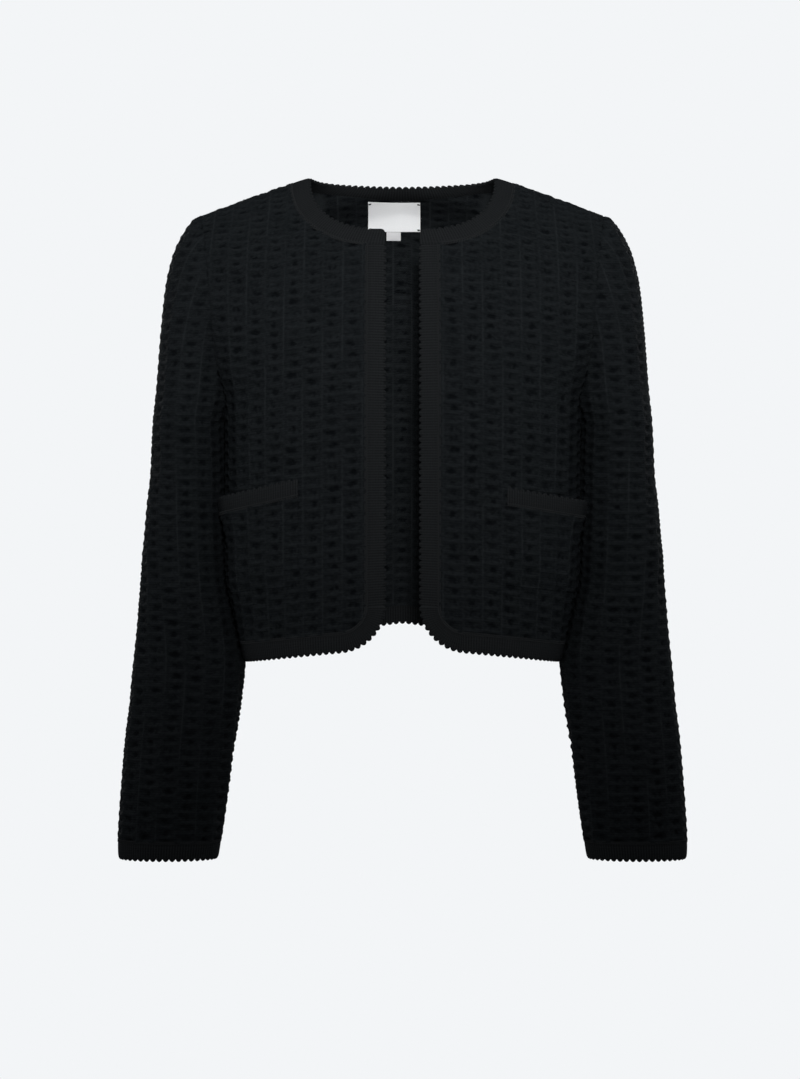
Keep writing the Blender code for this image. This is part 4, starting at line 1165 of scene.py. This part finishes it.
seam_s = OPENING_HALF + BAND_WIDTH
seam_top = float(np.interp(seam_s, front_neck_seam[:, 0], front_neck_seam[:, 1])) - SEAM_GAP
edge_top = float(front_neck_seam[0, 1]) - SEAM_GAP
seam_corner = corner_path(CORNER_RADIUS - BAND_WIDTH)
edge_corner = corner_path(CORNER_RADIUS)
seam_end = (float(front_sheet.half_length(BAND_WIDTH)) - SEAM_GAP / 2, BAND_WIDTH)
edge_end = (float(front_sheet.half_length(0.0)) - SEAM_GAP / 2, 0.0)
front_edges = (
    (np.array([(seam_s, seam_top), (seam_s, CORNER_RADIUS)]),
     np.array([(OPENING_HALF, edge_top), (OPENING_HALF, CORNER_RADIUS)])),
    (seam_corner, edge_corner),
    (np.array([seam_corner[-1], seam_end]), np.array([edge_corner[-1], edge_end])),
)
for side, sign in (("left", 1.0), ("right", -1.0)):
    edge_band("band_front_" + side, "front_band_" + side,
              [(front_sheet, seam * (sign, 1.0), edge * (sign, 1.0)) for seam, edge in front_edges],
              BAND_WIDTH)

# back hem
hem_seam_half = float(back_sheet.half_length(BAND_WIDTH)) - SEAM_GAP / 2
hem_edge_half = float(back_sheet.half_length(0.0)) - SEAM_GAP / 2
edge_band("band_back_hem", "back_hem_band", [
    (back_sheet, np.array([(-hem_seam_half, BAND_WIDTH), (hem_seam_half, BAND_WIDTH)]),
     np.array([(-hem_edge_half, 0.0), (hem_edge_half, 0.0)])),
], BAND_WIDTH)

# cuffs
cuff_seam, cuff_edge = [np.array([(s, t) for s in left_sleeve.ends(t)])
                        for t in (BAND_WIDTH + CUFF_RISE, TOOTH_DEPTH / 2 + CUFF_RISE)]
for side, mirror in (("left", 1.0), ("right", -1.0)):
    edge_band("band_cuff_" + side, "cuff_band_" + side, [(left_sleeve, cuff_seam, cuff_edge)],
              BAND_WIDTH, mirror=mirror, ring=True)

# pocket mouths
for side, sign, inner_z, outer_z in POCKETS:
    mouth_t = pocket_mouth(inner_z, outer_z)
    mouth_edge = np.stack((POCKET_ENDS, mouth_t), axis=1)
    mouth_seam = mouth_edge - (0.0, POCKET_BAND_WIDTH)
    edge_band("band_pocket_" + side, "pocket_band_" + side,
              [(front_sheet, mouth_seam * (sign, 1.0), mouth_edge * (sign, 1.0))], POCKET_BAND_WIDTH,
              lift=lambda s, t: pocket_lift(mouth_t, s, t))

# ---------------------------------------------------------------- label and tab
# A woven satin label inside the back, tacked at its corners, and a small folded tab under it.
# Both are bare.
LABEL_THICKNESS = 0.6
LABEL_GAP = 0.9
LABEL_SPAN = (-34.5, 18.0)
LABEL_HEIGHTS = (-39.6, -12.6)
TAB_SPAN = (-16.0, -1.8)
TAB_HEIGHTS = (-48.2, -39.9)


def satin_material(name, colour, roughness):
    """Fine warp lines with a soft gloss, in cloth coordinates."""
    material, tree, shader = new_material(name, {"Roughness": roughness, "Specular IOR Level": 0.35,
                                                 "Sheen Weight": 0.1})
    place = add_node(tree, "UVMap", uv_map="cloth").outputs["UV"]
    warp = add_node(tree, "TexWave", {"Vector": place, "Scale": 380.0, "Distortion": 0.6},
                    bands_direction="X")
    weft = add_node(tree, "TexWave", {"Vector": place, "Scale": 520.0}, bands_direction="Y")
    mottle = add_node(tree, "TexNoise", {"Vector": place, "Scale": 900.0, "Detail": 3.0})
    weave = maths(tree, "MULTIPLY", warp.outputs["Fac"], weft.outputs["Fac"])
    raised = add_node(tree, "Bump", {"Distance": 0.06 * MM, "Height": weave})
    darker = (*[c * 0.86 for c in colour], 1.0)
    feed(tree, shader, {"Base Color": mixed(tree, mottle.outputs["Fac"], darker, (*colour, 1.0)),
                        "Normal": raised.outputs["Normal"]})
    return material


def tape_piece(name, node, span, heights, material):
    """A thin woven rectangle with rounded folded ends, lying level on the inside of the back."""
    cloth = ClothMesh()
    left, right = span
    bottom, top = heights
    s = np.linspace(left, right, 27)
    stacks = []
    for face in (0.0, 1.0):
        rows = []
        for z in np.linspace(bottom, top, 18):
            from_edge = np.minimum(np.minimum(s - left, right - s), min(z - bottom, top - z))
            puff = 0.16 * smooth_step(from_edge / 2.5)
            bow = 0.25 * (np.cos((s - (left + right) / 2) / (right - left) * math.pi)
                          * math.sin((top - z) / (top - bottom) * math.pi))
            depth = -WALL - LABEL_GAP - bow - face * (LABEL_THICKNESS - 0.3 + puff)
            t = np.array([t_at_height(back_sheet, place, z) for place in s])
            rows.append(cloth.add_row(back_sheet.point(s, t, depth), np.ones(len(s)), s, t))
        stacks.append(rows)
    cloth.add_wall(*stacks)
    piece = cloth.finish(name, material)
    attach(piece, "root")
    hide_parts(node)
    return piece


# the label is given a brighter white as painted light, and the tab a grey as painted shade, standing in for
# how differently the light falls on the two
woven_label = tape_piece("woven_label", "label", LABEL_SPAN, LABEL_HEIGHTS,
                         satin_material("label_satin", (0.93, 0.94, 0.95), 0.55))
small_tab = tape_piece("small_tab", "care_tab", TAB_SPAN, TAB_HEIGHTS,
                       satin_material("tab_satin", (0.62, 0.62, 0.63), 0.6))

TACK_INSET = 1.6
tack_depth = np.full(2, -WALL - LABEL_GAP - LABEL_THICKNESS - 0.05)
bm = bmesh.new()
for s in (LABEL_SPAN[0] + TACK_INSET, LABEL_SPAN[1] - TACK_INSET):
    for z in (LABEL_HEIGHTS[1] - TACK_INSET, LABEL_HEIGHTS[0] + TACK_INSET):
        for rise in (-0.5, 0.0, 0.5):
            t = t_at_height(back_sheet, s, z) + rise
            start, end = back_sheet.point(np.array((s - 1.5, s + 1.5)), np.array((t, t)), tack_depth) * MM
            add_strand(bm, start, end, 0.28 * MM, 1.6 * MM)
tacks = mesh_object("label_tacks", bm, chain_material)
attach(tacks, "root")
